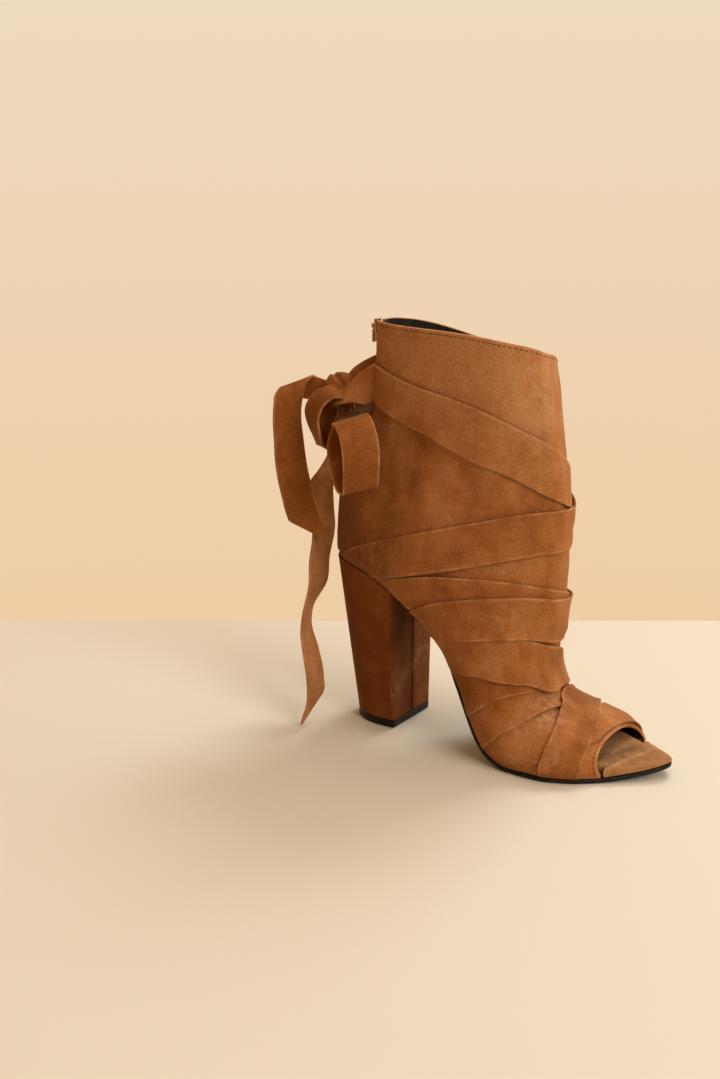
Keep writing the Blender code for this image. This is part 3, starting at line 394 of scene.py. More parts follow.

# Rubs, stains and paler or darker patches placed on the upper and straps: kind, place u, v, half-width,
# strength.  Many of the tone patches are painted light and shade, paler where the light falls and darker on
# the shaded back of the counter, and the stains on the back of the counter are painted shade under the bow.
MARKS = (
    ("scuff", 0.40, 2.75, 9.0, 0.8), ("scuff", 0.33, 2.35, 10.0, 0.8), ("scuff", 0.24, 2.9, 8.0, 0.6),
    ("scuff", 0.14, 1.5, 9.0, 0.5), ("scuff", 0.10, 8.2, 12.0, 0.45), ("scuff", 0.30, 5.7, 10.0, 0.5),
    ("scuff", 0.22, 4.9, 8.0, 0.45), ("scuff", 0.60, 1.2, 9.0, 0.4), ("scuff", 0.72, 2.6, 10.0, 0.5),
    ("stain", 0.03, 7.9, 9.0, 0.35), ("stain", 0.12, 11.6, 10.0, 0.30), ("stain", 0.21, 9.5, 9.0, 0.25),
    ("tone", 0.28, 9.85, 11.0, 0.6), ("tone", 0.36, 13.3, 22.0, 0.3), ("tone", 0.06, 10.2, 16.0, -0.7),
    ("tone", 0.21, 10.1, 13.0, -1.0), ("tone", 0.43, 8.1, 10.0, 0.3), ("tone", 0.15, 13.7, 14.0, 0.3),
    ("tone", 0.80, 10.2, 16.0, 0.5), ("tone", 0.93, 10.6, 16.0, -0.6), ("tone", 0.06, 5.0, 14.0, -0.4),
    ("tone", 0.36, 2.5, 18.0, 0.3), ("tone", 0.42, 13.3, 32.0, 0.7), ("tone", 0.24, 13.7, 26.0, 1.0),
    ("tone", 0.03, 7.9, 20.0, -1.2), ("tone", 0.05, 10.3, 24.0, -2.2), ("stain", 0.08, 10.0, 17.0, 0.6),
    ("stain", 0.08, 7.8, 14.0, 0.5), ("scuff", 0.36, 12.9, 34.0, 0.30), ("scuff", 0.46, 12.6, 16.0, 0.35),
    ("tone", 0.21, 10.9, 9.0, -0.6), ("tone", 0.30, 10.5, 7.0, -0.5), ("tone", 0.40, 10.1, 10.0, 0.6),
    ("tone", 0.22, 12.2, 10.0, -0.6), ("tone", 0.09, 2.8, 10.0, 0.8), ("tone", 0.17, 5.0, 9.0, 0.6),
    ("tone", 0.20, 3.95, 8.0, -0.6), ("tone", 0.46, 2.7, 8.0, 0.5), ("tone", 0.20, 6.0, 10.0, 0.5),
)

# Prints of the foot on the insole, those near the toe rim darker partly as painted shade under it: x, y,
# half-length, half-width, strength
PRINTS = (
    (84, 8, 8, 9, 0.75), (76, -9, 9, 14, 1.0), (75, -20, 7, 6, 0.6), (89, 13, 5, 6, 0.3),
    (48, 2, 26, 26, 0.5), (-85, 0, 20, 15, 0.4))
# Pale streak across the insole's toe end: x and y of its outer end, lean, bend, half-width
STREAK = (80.5, -24.8, 0.38, 0.001, 1.5)

# Side of the heel's top piece: height, how far it is drawn in
TOP_PIECE_ROWS = ((0.0, 0.7), (0.35, 0.25), (0.9, 0.0), (2.4, 0.05), (4.2, 0.0), (4.7, 0.15))
# One tooth of the zip: place across the slot, radius
TOOTH_ROWS = np.array(((-1.5, 0.15), (-1.2, 0.42), (0.0, 0.50), (1.2, 0.42), (1.5, 0.15)))
# Height of one stitch over the suede, from end to end
STITCH_RISE = np.array((-0.162, 0.063, 0.18, 0.063, -0.162))
# Stitch rows: name, whether on the outer panel, section of the rim, distance in from it, and the first
# and last place round the section
STITCH_ROWS = (
    ("stitch_collar_outer", True, COLLAR_ROW, -1.9, 0.03, 0.628),
    ("stitch_collar_inner", False, COLLAR_ROW, -1.9, 0.972, 0.60),
    ("stitch_toe_outer", True, 0.0, 2.3, 0.01, 0.55),
    ("stitch_toe_inner", False, 0.0, 2.3, 0.56, 0.99))


def smooth(rows, at):
    """Monotone cubic through rows whose first column is the place along them."""
    place = rows[:, 0]
    value = rows[:, 1:]
    step = np.diff(place)[:, None]
    slope = np.diff(value, axis=0) / step
    tangent = np.zeros_like(value)
    tangent[0] = slope[0]
    tangent[-1] = slope[-1]
    before = slope[:-1]
    after = slope[1:]
    same = before * after > 0
    near = 2 * step[1:] + step[:-1]
    far = step[1:] + 2 * step[:-1]
    mean = (near + far) * before * after / np.where(same, near * after + far * before, 1.0)
    tangent[1:-1] = np.where(same, mean, 0.0)
    return between(place, value, tangent, at)


def rounded(rows, at):
    """Cubic through the same kind of rows whose slope at a row is that between its neighbours."""
    place = rows[:, 0]
    value = rows[:, 1:]
    tangent = np.gradient(value, place, axis=0)
    return between(place, value, tangent, at)


def between(place, value, tangent, at):
    """Cubic from row to row with the given slopes."""
    at = np.asarray(at, float)
    i = np.clip(np.searchsorted(place, at) - 1, 0, len(place) - 2)
    d = (place[i + 1] - place[i])[..., None]
    t = np.clip((at - place[i])[..., None] / d, 0.0, 1.0)
    start = (1 + 2 * t) * (1 - t) ** 2 * value[i] + t * (1 - t) ** 2 * d * tangent[i]
    end = t * t * (3 - 2 * t) * value[i + 1] + t * t * (t - 1) * d * tangent[i + 1]
    return start + end


def ramp(low, high, at):
    """Smooth step from 0 at low to 1 at high."""
    t = np.clip((at - low) / (high - low), 0.0, 1.0)
    return t * t * (3 - 2 * t)


def bell(off, wide):
    """Bell curve: 1 in its middle, about a third at so wide off it, and nearly 0 at twice that."""
    return np.exp(-(off / wide) ** 2)


def bent(start, middle, end, t):
    """Curve of the second degree from start to end, drawn towards the middle value."""
    return start * (1 - t) ** 2 + 2 * middle * t * (1 - t) + end * t * t


def unit(vectors):
    """Vectors brought to a length of 1."""
    return vectors / (np.linalg.norm(vectors, axis=-1, keepdims=True) + TINY)


def lengths_along(line):
    """Distance along a line of points from its start to each point."""
    return np.concatenate(((0,), np.cumsum(np.linalg.norm(np.diff(line, axis=0), axis=1))))


def places_along(at, far, line):
    """Points, or directions, at distances along a line of points."""
    return np.stack([np.interp(at, far, column) for column in line.T], -1)


def turns(count):
    """Angles of so many points evenly spaced round a circle."""
    return np.arange(count) * 2 * np.pi / count


def feather(x):
    """Height of the line where the suede meets the sole."""
    return smooth(FEATHER_ROWS, x)[..., 0]


def sole_sides(x):
    """Outer half-width, inner half-width and centre line of the sole at x: the rows, drawn in to
    a quarter ellipse at the heel and at the toe."""
    row = smooth(SOLE_ROWS, x)
    heel = np.clip((x - HEEL_X) / HEEL_ROUND, 0, 1)
    toe = np.clip((TOE_X - x) / TOE_ROUND, 0, 1)
    ends = np.sqrt(1 - (1 - heel) ** 2) * np.sqrt(1 - (1 - toe) ** 2)
    return row[..., 0] * ends, row[..., 1] * ends, row[..., 2]


def surface(u, v, slot=0.0):
    """Outside of the upper: each half section is a cut ellipse from its foot, on the sole or on
    the back seam, to the ridge."""
    u, v = np.broadcast_arrays(np.asarray(u, float), np.asarray(v, float))
    (foot_x, rise, ridge_x, ridge_z, ridge_y, outer, inner, full, egg,
     bow_outer, bow_inner) = np.moveaxis(smooth(SECTIONS, v), -1, 0)
    foot_x = foot_x + TOE_SKEW * ramp(RIDGE, 1.0, u) * np.clip(1 - v, 0, 1) ** 2
    foot_z = feather(foot_x) + SEAT_GAP + FOOT_TALL + rise
    side_outer, side_inner, middle = sole_sides(foot_x)
    grip = np.clip(1 - (v - SEAT_ROW), 0, 1)
    is_outer = u < RIDGE
    half = np.where(is_outer, outer, inner)
    side = np.maximum(np.where(is_outer, side_outer, side_inner) - FOOT_INSET, 0)
    end = np.maximum(side * grip, slot)
    turned = np.arcsin(np.clip(end / half, 0, 1) ** (1 / full))
    first = turned.copy()
    for _ in range(EGG_ROUNDS):
        first = turned - egg * np.sin(first)
    along = np.where(is_outer, 2 * u, 2 * (1 - u))
    angle = first + (np.pi - first) * along
    height = (np.cos(first) - np.cos(angle)) / (np.cos(first) + 1)
    width = half * np.clip(np.sin(angle + egg * np.sin(angle)), 0, 1) ** full
    x = foot_x + (ridge_x - foot_x) * height
    swell = np.where(is_outer, bow_outer * height, bow_inner * (1 - height))
    z = foot_z + (ridge_z - foot_z) * height + BOW_PEAK * swell * height * (1 - height)
    y = middle * grip * (1 - height) + ridge_y * height + np.where(is_outer, -width, width)
    return np.stack((x, y, z), -1)


def slot_at(v):
    """Half-width of the zip's slot in the back seam, which opens just below the zip."""
    return ZIP_SLOT * ramp(ZIP_ROW - ZIP_SLOT_RUN, ZIP_ROW, v)


def outward(u, v):
    """Unit direction out of the upper's surface: its slope round the section crossed with its
    slope from section to section."""
    du = 0.004
    dv = 0.03
    u_low = np.clip(u - du, du, 1 - 2 * du)
    v_low = np.clip(v - dv, 0, COLLAR_ROW - 2 * dv)
    across = surface(u_low + 2 * du, v) - surface(u_low, v)
    up = surface(u, v_low + 2 * dv) - surface(u, v_low)
    return unit(np.cross(across, up))


def flap(v):
    """Places of the flap's free edge and of the hidden edge under it."""
    joined, reach, under = np.moveaxis(smooth(FLAP_ROWS, v), -1, 0)
    notch = THROAT_NOTCH * np.sin(np.pi * np.clip((v - THROAT) / THROAT_LONG, 0, 1))
    return joined + reach - notch, joined - under + notch


def flap_lift(u, v):
    """How far the front flap stands off the sections."""
    _, hidden = flap(v)
    start, stop = FLAP_BLEND
    return FLAP_LIFT * ramp(THROAT, THROAT + FLAP_RUN, v) * ramp(hidden - start, hidden - stop, u)


def panel_dip(u, v):
    """How far the inner panel falls away behind the flap's corner at the collar."""
    edge, _ = flap(v)
    return PANEL_DIP * ramp(PANEL_DIP_ROW, COLLAR_ROW, v) * bell(u - edge, PANEL_DIP_WIDE)


def collar_dip(u, v, is_outer):
    """How far the top edge drops, along the inner panel and at the flap's corner."""
    drop = FLAP_DIP * ramp(*FLAP_DIP_ENDS, u) if is_outer else COLLAR_DIP * ramp(*COLLAR_DIP_ENDS, u)
    return drop * ramp(DIP_ROW, COLLAR_ROW, v)


def crease_depth(u, v):
    """Sum of the creases: each is a soft trough, or a ridge where its depth is negative, whose
    section is a bell over the distance from its bent line, fading out towards the line's ends."""
    points = surface(u, v)
    total = np.zeros(points.shape[:-1])
    t = np.linspace(0, 1, CREASE_STEPS + 1)
    for u_start, v_start, u_middle, v_middle, u_end, v_end, wide, deep in CREASES:
        line = surface(bent(u_start, u_middle, u_end, t), bent(v_start, v_middle, v_end, t))
        nearest = np.full(total.shape, np.inf)
        place = np.zeros(total.shape)
        for k in range(CREASE_STEPS):
            step = line[k + 1] - line[k]
            share = np.clip((points - line[k]) @ step / (step @ step), 0, 1)
            away = np.sum((points - line[k] - share[..., None] * step) ** 2, axis=-1)
            closer = away < nearest
            nearest = np.where(closer, away, nearest)
            place = np.where(closer, (k + share) / CREASE_STEPS, place)
        total += deep * np.exp(-nearest / wide ** 2) * np.sin(np.pi * place) ** CREASE_FADE
    return total


def on_panel(u, v, is_outer):
    """Outside of a panel of the upper and the direction out of it: the surface, moved out by the
    flap's lift or in by the dip behind it, in by the creases and down at the collar."""
    out = outward(u, v)
    shift = flap_lift(u, v) if is_outer else -panel_dip(u, v)
    lift = shift - crease_depth(u, v)
    points = surface(u, v, slot_at(v)) + out * lift[..., None]
    points[..., 2] -= collar_dip(u, v, is_outer)
    return points, out


# Lattice over the upper for the straps' beds, and how far a strap's stiffness reaches in its cells
U_AT = np.linspace(0, 1, 385)
V_AT = np.linspace(0, COLLAR_ROW, 505)
U_REACH = 9
V_REACH = 5


def spread_out(field, cells, axis, how):
    """Greatest, or mean, of a field over so many cells to each side along an axis."""
    pad = [(0, 0), (0, 0)]
    pad[axis] = (cells, cells)
    wide = np.pad(field, pad, mode="edge")
    count = field.shape[axis]
    shifted = [np.take(wide, np.arange(k, k + count), axis=axis) for k in range(2 * cells + 1)]
    return how(shifted, axis=0)


def strap_beds():
    """Height of what each strap lies on, over the whole lattice of the upper: the greatest height
    within the strap's stiffness, then its mean over the same reach, so that the strap bridges
    every step below it.  Each strap then raises the height inside its own edges."""
    u, v = np.meshgrid(U_AT, V_AT, indexing="ij")
    edge, _ = flap(v)
    height = np.where(u < edge, flap_lift(u, v), -panel_dip(u, v)) - CREASE_SHOWS * crease_depth(u, v)
    beds = []
    for _, _, rows in STRAPS:
        bed = height
        for how in (np.max, np.mean):
            bed = spread_out(bed, U_REACH, 0, how)
            bed = spread_out(bed, V_REACH, 1, how)
        bed = bed + STRAP_GAP
        low, high = np.moveaxis(smooth(np.array(rows), u), -1, 0)
        inside = (v > low) & (v < high) & (u >= rows[0][0]) & (u <= rows[-1][0])
        height = np.where(inside, bed + STRAP_THICK, height)
        beds.append(bed)
    return beds


def sample(field, u, v):
    """Field of the lattice at any place, weighed between its four nearest points.  A place on the
    far rim counts as just inside the last cell."""
    rim = 0.001
    a = np.clip(u * (len(U_AT) - 1), 0, len(U_AT) - 1 - rim)
    b = np.clip(v / COLLAR_ROW * (len(V_AT) - 1), 0, len(V_AT) - 1 - rim)
    i = a.astype(int)
    j = b.astype(int)
    s = a - i
    t = b - j
    low = field[i, j] * (1 - t) + field[i, j + 1] * t
    high = field[i + 1, j] * (1 - t) + field[i + 1, j + 1] * t
    return low * (1 - s) + high * s


def section_of_band(across):
    """Flat section with round edges, as a closed ring: place across from -1 to 1, reach of the
    round edge past it in half thicknesses, and height from 0 to 1.  It starts in the middle of
    an edge, so that point a faces point n - 1 - a."""
    turned = np.radians((18.0, 54.0))
    risen = 0.5 + 0.5 * np.sin(turned)
    place = np.concatenate(((-1, -1), np.linspace(-1, 1, across), (1, 1)))
    reach = np.concatenate((-np.cos(turned), np.zeros(across), np.cos(turned[::-1])))
    height = np.concatenate((risen, np.ones(across), risen[::-1]))
    return (np.concatenate((place, place[::-1])), np.concatenate((reach, reach[::-1])),
            np.concatenate((height, 1 - height[::-1])))


# Section that all straps, ties and ribbons share: place across, reach of the round edge, height
BAND_PLACE, BAND_REACH, BAND_HEIGHT = section_of_band(BAND_ACROSS)
BAND_EDGE = np.abs(BAND_PLACE) > 0.99
BAND_FACE = BAND_HEIGHT > 0.9


def tube(rings):
    """Quads of a closed body through rings of points, its ends closed from side to side."""
    count, size = rings.shape[:2]
    i, j = np.meshgrid(np.arange(count - 1), np.arange(size), indexing="ij")
    k = (j + 1) % size
    sides = np.stack((i * size + j, i * size + k, (i + 1) * size + k, (i + 1) * size + j), -1)
    a = np.arange(size // 2 - 1)
    cap = np.stack((a, size - 1 - a, size - 2 - a, a + 1), -1)
    return np.concatenate((sides.reshape(-1, 4), cap, cap[:, ::-1] + (count - 1) * size))


def tubes(rings):
    """Quads of many small tubes of one kind, stored one after the other."""
    start = np.arange(len(rings)) * rings[0, ..., 0].size
    return (tube(rings[0]) + start[:, None, None]).reshape(-1, 4)


def on_rings(values, rings):
    """Values round a section, given to the points of every ring."""
    return np.broadcast_to(values, rings.shape[:2]).ravel()


def grid_faces(rows, columns, start=0):
    """Quads of a grid of points stored row by row."""
    i, j = np.meshgrid(np.arange(rows - 1), np.arange(columns - 1), indexing="ij")
    a = start + (i * columns + j).ravel()
    return np.stack((a, a + 1, a + columns + 1, a + columns), -1)


def shell(top, bottom):
    """Closed wall between two grids, its rim rounded by a middle line that stands a little out of
    the wall.  Gives points, quads and, for each quad, whether it is on the inside."""
    rows, columns = top.shape[:2]
    count = rows * columns
    number = np.arange(count).reshape(rows, columns)
    loop = np.concatenate((number[0, :-1], number[:-1, -1], number[-1, :0:-1], number[:0:-1, 0]))
    deep = 2
    inner_rows = np.clip(np.arange(rows), deep, rows - 1 - deep)
    inner_columns = np.clip(np.arange(columns), deep, columns - 1 - deep)
    inner = number[inner_rows][:, inner_columns].ravel()
    flat = top.reshape(-1, 3)
    under = bottom.reshape(-1, 3)
    out = unit(flat[loop] - flat[inner[loop]])
    middle = (flat[loop] + under[loop]) / 2 + out * RIM_BULGE
    points = np.concatenate((flat, under, middle))
    ring = 2 * count + np.arange(len(loop))
    after = np.roll(loop, -1)
    ring_after = np.roll(ring, -1)
    faces = [grid_faces(rows, columns), grid_faces(rows, columns, count)[:, ::-1],
             np.stack((loop, ring, ring_after, after), -1),
             np.stack((ring, loop + count, after + count, ring_after), -1)]
    inside = np.concatenate([np.full(len(f), k == 1) for k, f in enumerate(faces)])
    return points, np.concatenate(faces), inside


def add_piece(name, points, faces, finishes, slot, nodes=(), second=None, merge=False,
              sharp=SHARP_ANGLE, **values):
    """Mesh piece from points in millimetres and quads, turned to face outwards.  It rides on the
    boot, may stand for CAD nodes, and keeps named values at its points for its finish."""
    points = np.asarray(points, float).reshape(-1, 3) * MM
    a, b, c, d = (points[faces[:, k]] for k in range(4))
    volume = np.sum(a * np.cross(b, c)) + np.sum(a * np.cross(c, d))
    if volume < 0:
        faces = faces[:, ::-1]
    mesh = bpy.data.meshes.new(name)
    mesh.vertices.add(len(points))
    mesh.vertices.foreach_set("co", points.ravel())
    mesh.loops.add(faces.size)
    mesh.loops.foreach_set("vertex_index", np.ascontiguousarray(faces).ravel())
    mesh.polygons.add(len(faces))
    mesh.polygons.foreach_set("loop_start", np.arange(0, faces.size, 4))
    mesh.polygons.foreach_set("use_smooth", np.ones(len(faces), bool))
    if second is not None:
        mesh.polygons.foreach_set("material_index", second.astype(int))
    for key, value in values.items():
        attribute = mesh.attributes.new(key, "FLOAT", "POINT")
        attribute.data.foreach_set("value", np.asarray(value, float))
    mesh.update(calc_edges=True)
    if merge:
        work = bmesh.new()
        work.from_mesh(mesh)
        bmesh.ops.remove_doubles(work, verts=work.verts, dist=MERGE_NEAR)
        work.to_mesh(mesh)
        work.free()
    mesh.set_sharp_from_angle(angle=math.radians(sharp))
    for finish in finishes:
        mesh.materials.append(finish)
    obj = bpy.data.objects.new(name, mesh)
    bpy.context.scene.collection.objects.link(obj)
    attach(obj, "boot")
    if nodes:
        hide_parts(*nodes)
    return obj


class Wire:
    """A shader socket that takes part in Python arithmetic; each sign adds a Math node."""

    def __init__(self, nodes, socket):
        self.nodes = nodes
        self.socket = socket

    def math(self, operation, first, second):
        return self.nodes.node("Math", {"operation": operation}, {0: first, 1: second})

    def __add__(self, other):
        return self.math("ADD", self, other)

    def __radd__(self, other):
        return self.math("ADD", other, self)

    def __sub__(self, other):
        return self.math("SUBTRACT", self, other)

    def __rsub__(self, other):
        return self.math("SUBTRACT", other, self)

    def __mul__(self, other):
        return self.math("MULTIPLY", self, other)

    def __rmul__(self, other):
        return self.math("MULTIPLY", other, self)


class Nodes:
    """A node tree in the making, with one method that adds any node."""

    def __init__(self, tree):
        self.tree = tree

    def node(self, kind, settings=None, inputs=None, out=0):
        made = self.tree.nodes.new("ShaderNode" + kind)
        for key, value in (settings or {}).items():
            setattr(made, key, value)
        for key, value in (inputs or {}).items():
            self.feed(made.inputs[key], value)
        return Wire(self, made.outputs[out])

    def feed(self, socket, value):
        if isinstance(value, Wire):
            self.tree.links.new(value.socket, socket)
        else:
            socket.default_value = value

    def step(self, value, low, high, bottom=0.0, top=1.0, kind="SMOOTHSTEP"):
        return self.node("MapRange", {"interpolation_type": kind}, {
            "Value": value, "From Min": low, "From Max": high, "To Min": bottom, "To Max": top})

    def mix(self, share, first, second, blend="MIX"):
        """Blend of two colours, each a wire or three numbers."""
        first, second = (c if isinstance(c, Wire) else c + (1,) for c in (first, second))
        return self.node("Mix", {"data_type": "RGBA", "blend_type": blend},
                         {0: share, 6: first, 7: second}, out=2)


class Finish(Nodes):
    """A material in the making, whose patterns lie on Object coordinates."""

    def __init__(self, name, **fixed):
        self.material = bpy.data.materials.new(name)
        self.material.use_nodes = True
        super().__init__(self.material.node_tree)
        self.shader = self.tree.nodes["Principled BSDF"]
        for key, value in fixed.items():
            self.shader.inputs[key.replace("_", " ")].default_value = value
        self.place = self.node("TexCoord", out="Object")

    def noise(self, size, detail=2.0, rough=0.5, stretch=None):
        """Noise whose spots are about so many millimetres wide, stretched along the axes if asked."""
        where = self.place
        if stretch is not None:
            where = self.node("Mapping", {"vector_type": "POINT"}, {"Vector": where, "Scale": stretch})
        return self.node("TexNoise", {}, {"Vector": where, "Scale": 1 / (size * MM), "Detail": detail,
                                          "Roughness": rough})

    def wave(self, direction, scale):
        return self.node("TexWave", {"bands_direction": direction}, {"Vector": self.place, "Scale": scale})

    def value(self, name):
        return self.node("Attribute", {"attribute_name": name}, out="Fac")

    def bump(self, height, strength, deep):
        normal = self.node("Bump", {}, {"Height": height, "Strength": strength, "Distance": deep * MM})
        self.feed(self.shader.inputs["Normal"], normal)

    def paint(self, **wires):
        for key, wire in wires.items():
            self.feed(self.shader.inputs[key.replace("_", " ")], wire)
        return self.material


NAP_SHEEN = (0.95, 0.66, 0.40, 1)
RUBBED_NAP = (0.52, 0.33, 0.18)


def suede(name, deep, middle, pale, sheen=0.18):
    """Brushed suede: broad nap marks between a deep and a pale tone, brushed streaks, fine fibres, rubbed
    pale edges, and rubs, stains, painted light and painted shade from the piece's own values."""
    finish = Finish(name, Sheen_Weight=sheen, Sheen_Roughness=0.45, Sheen_Tint=NAP_SHEEN,
                    Specular_IOR_Level=0.15)
    broad = finish.noise(34, 3.0, 0.55)
    marks = finish.noise(9, 4.0, 0.6, stretch=(1.0, 1.0, 0.55))
    brushed = finish.noise(5, 3.0, 0.6, stretch=(0.35, 1.0, 1.0))
    fine = finish.noise(0.9, 3.0, 0.7)
    speck = finish.noise(0.35, 2.0, 0.6)
    nap = broad * 0.55 + marks * 0.30 + brushed * 0.15
    # Tone values hold patches of true tone and also painted light and shade
    tone = nap + finish.value("tone") * 0.22
    low = finish.mix(finish.step(tone, 0.26, 0.54), deep, middle)
    colour = finish.mix(finish.step(tone, 0.46, 0.76), low, pale)
    grain = finish.step(fine * 0.6 + speck * 0.4, 0.34, 0.66, 0.68, 1.30)
    grey = finish.node("CombineColor", {}, {0: grain, 1: grain, 2: grain})
    colour = finish.mix(1.0, colour, grey, "MULTIPLY")
    rubbed = finish.value("edge") * finish.step(marks, 0.38, 0.64, 0.08, 0.55)
    worn = tuple(min(1.0, 1.25 * c + 0.01) for c in pale)
    colour = finish.mix(rubbed, colour, worn)
    scuff = finish.value("scuff") * finish.step(finish.noise(5, 4.0, 0.6), 0.36, 0.68)
    colour = finish.mix(scuff * 0.55, colour, RUBBED_NAP)
    # Stain values darken towards a deep brown: real stains, prints and seams, and also painted shade at the
    # ribbons' gathers, on the counter under the bow and along the straps' lower edges
    stain = finish.value("stain") * finish.step(finish.noise(7, 4.0, 0.6), 0.34, 0.62, 0.35, 1.0)
    colour = finish.mix(stain * 0.8, colour, tuple(0.28 * c for c in deep))
    finish.bump(fine * 0.5 + speck * 0.35 + marks * 0.5, 0.35, 0.35)
    return finish.paint(Base_Color=colour, Roughness=0.80 + 0.15 * fine)


def lining_leather():
    """Thin black lining leather, softly creased, with a faint sheen on the creases."""
    finish = Finish("lining_leather", Specular_IOR_Level=0.4)
    folds = finish.noise(7, 3.0, 0.6, stretch=(1, 1, 0.4))
    grain = finish.noise(0.9)
    finish.bump(folds * 0.8 + grain * 0.15, 0.6, 1.2)
    colour = finish.mix(finish.step(folds, 0.35, 0.7), (0.010, 0.010, 0.011), (0.028, 0.028, 0.030))
    return finish.paint(Base_Color=colour, Roughness=0.38 + 0.25 * folds)


def sole_rubber():
    """Black moulded sole: nearly even, greyed by scuffs and dust."""
    finish = Finish("sole_rubber", Specular_IOR_Level=0.2)
    dust = finish.step(finish.noise(11, 5.0, 0.65), 0.50, 0.75)
    scratch = finish.step(finish.noise(2.2, 3.0, 0.6, stretch=(0.2, 1, 1)), 0.58, 0.70)
    colour = finish.mix(dust * 0.4 + scratch * 0.3, (0.006, 0.0055, 0.005), (0.070, 0.056, 0.042))
    finish.bump(finish.noise(0.8, 3.0, 0.6) + scratch * 0.4, 0.25, 0.3)
    return finish.paint(Base_Color=colour, Roughness=0.42 + 0.3 * dust)


def copper_metal():
    """Coppery plated zip metal with fine scratches and dulled spots."""
    finish = Finish("copper_metal", Metallic=1.0)
    dull = finish.noise(2.5, 4.0, 0.6)
    scratch = finish.noise(0.6, stretch=(1, 0.15, 1))
    colour = finish.mix(finish.step(dull, 0.4, 0.7), (0.50, 0.27, 0.15), (0.30, 0.16, 0.09))
    finish.bump(scratch, 0.2, 0.1)
    return finish.paint(Base_Color=colour, Roughness=0.26 + 0.3 * dull)


def woven_tape():
    """Black woven zip tape: fine crossing ribs."""
    finish = Finish("woven_tape", Specular_IOR_Level=0.2)
    rib = finish.node("Math", {"operation": "MAXIMUM"},
                      {0: finish.wave("Y", 700.0), 1: finish.wave("Z", 500.0)})
    finish.bump(rib, 0.5, 0.2)
    colour = finish.mix(rib, (0.010, 0.009, 0.009), (0.040, 0.034, 0.030))
    return finish.paint(Base_Color=colour, Roughness=0.75 + 0.1 * rib)


def brown_thread():
    """Sewing thread: twisted plies shown as fine bands."""
    finish = Finish("brown_thread", Specular_IOR_Level=0.2, Sheen_Weight=0.2)
    twist = finish.wave("DIAGONAL", 900.0)
    finish.bump(twist, 0.4, 0.1)
    colour = finish.mix(twist, (0.045, 0.018, 0.007), (0.095, 0.040, 0.016))
    return finish.paint(Base_Color=colour, Roughness=0.7 + 0.1 * twist)


SUEDE = suede("camel_suede", (0.200, 0.060, 0.009), (0.330, 0.118, 0.033), (0.445, 0.205, 0.080))
# Darker, more saturated suede for the heel: partly its own colour, partly painted shade of the heel under
# the sole's overhang
HEEL_SUEDE = suede("heel_suede", (0.105, 0.024, 0.002), (0.150, 0.038, 0.004), (0.215, 0.070, 0.014),
                   sheen=0.05)
INSOLE_SUEDE = suede("insole_suede", (0.270, 0.125, 0.046), (0.405, 0.200, 0.084), (0.500, 0.285, 0.135))
LINING = lining_leather()
RUBBER = sole_rubber()
COPPER = copper_metal()
TAPE = woven_tape()
THREAD = brown_thread()


def marks_at(points):
    """Values of the listed marks at points near the upper: each mark is a bell over the distance from its
    place on the surface."""
    found = {kind: np.zeros(len(points)) for kind in ("scuff", "stain", "tone")}
    for kind, u, v, wide, strength in MARKS:
        found[kind] += strength * bell(np.linalg.norm(points - surface(u, v), axis=-1), wide)
    return found


def build_upper():
    """The two panels of the upper: the outer one with the front flap and the inner one that runs
    under it.  Each has its wall laid inwards along the normals, and its foot brought down to
    the sole."""
    v = np.linspace(0, COLLAR_ROW, PANEL_ROWS)
    edge, hidden = (place[:, None] for place in flap(v))
    for is_outer, name in ((True, "upper_outer_panel"), (False, "upper_inner_panel")):
        share = np.linspace(0, 1, OUTER_COLUMNS if is_outer else INNER_COLUMNS)
        u = edge * share if is_outer else hidden + (1 - hidden) * share
        top, out = on_panel(u, np.broadcast_to(v[:, None], u.shape), is_outer)
        bottom = top - out * WALL
        foot = slice(0, 1) if is_outer else slice(-1, None)
        drop = (v < SEAT_ROW)[:, None, None] * np.array((0.0, 0.0, FOOT_TALL))
        grids = [np.concatenate((g[:, foot] - drop, g) if is_outer else (g, g[:, foot] - drop), axis=1)
                 for g in (top, bottom)]
        points, faces, inside = shell(*grids)
        rim = np.zeros(grids[0].shape[:2])
        rim[[0, -1]] = RIM_RUB
        rim[[1, -2]] = RIM_RUB_BEHIND
        free = slice(-2, None) if is_outer else slice(0, 2)
        rim[:, free] = np.maximum(rim[:, free], FREE_EDGE_RUB)
        middle_line = np.ones(len(points) - 2 * rim.size)
        values = np.concatenate((rim.ravel(), rim.ravel(), middle_line))
        add_piece(name, points, faces, (SUEDE, LINING), "suede", ("upper",), second=inside, edge=values,
                  **marks_at(points))


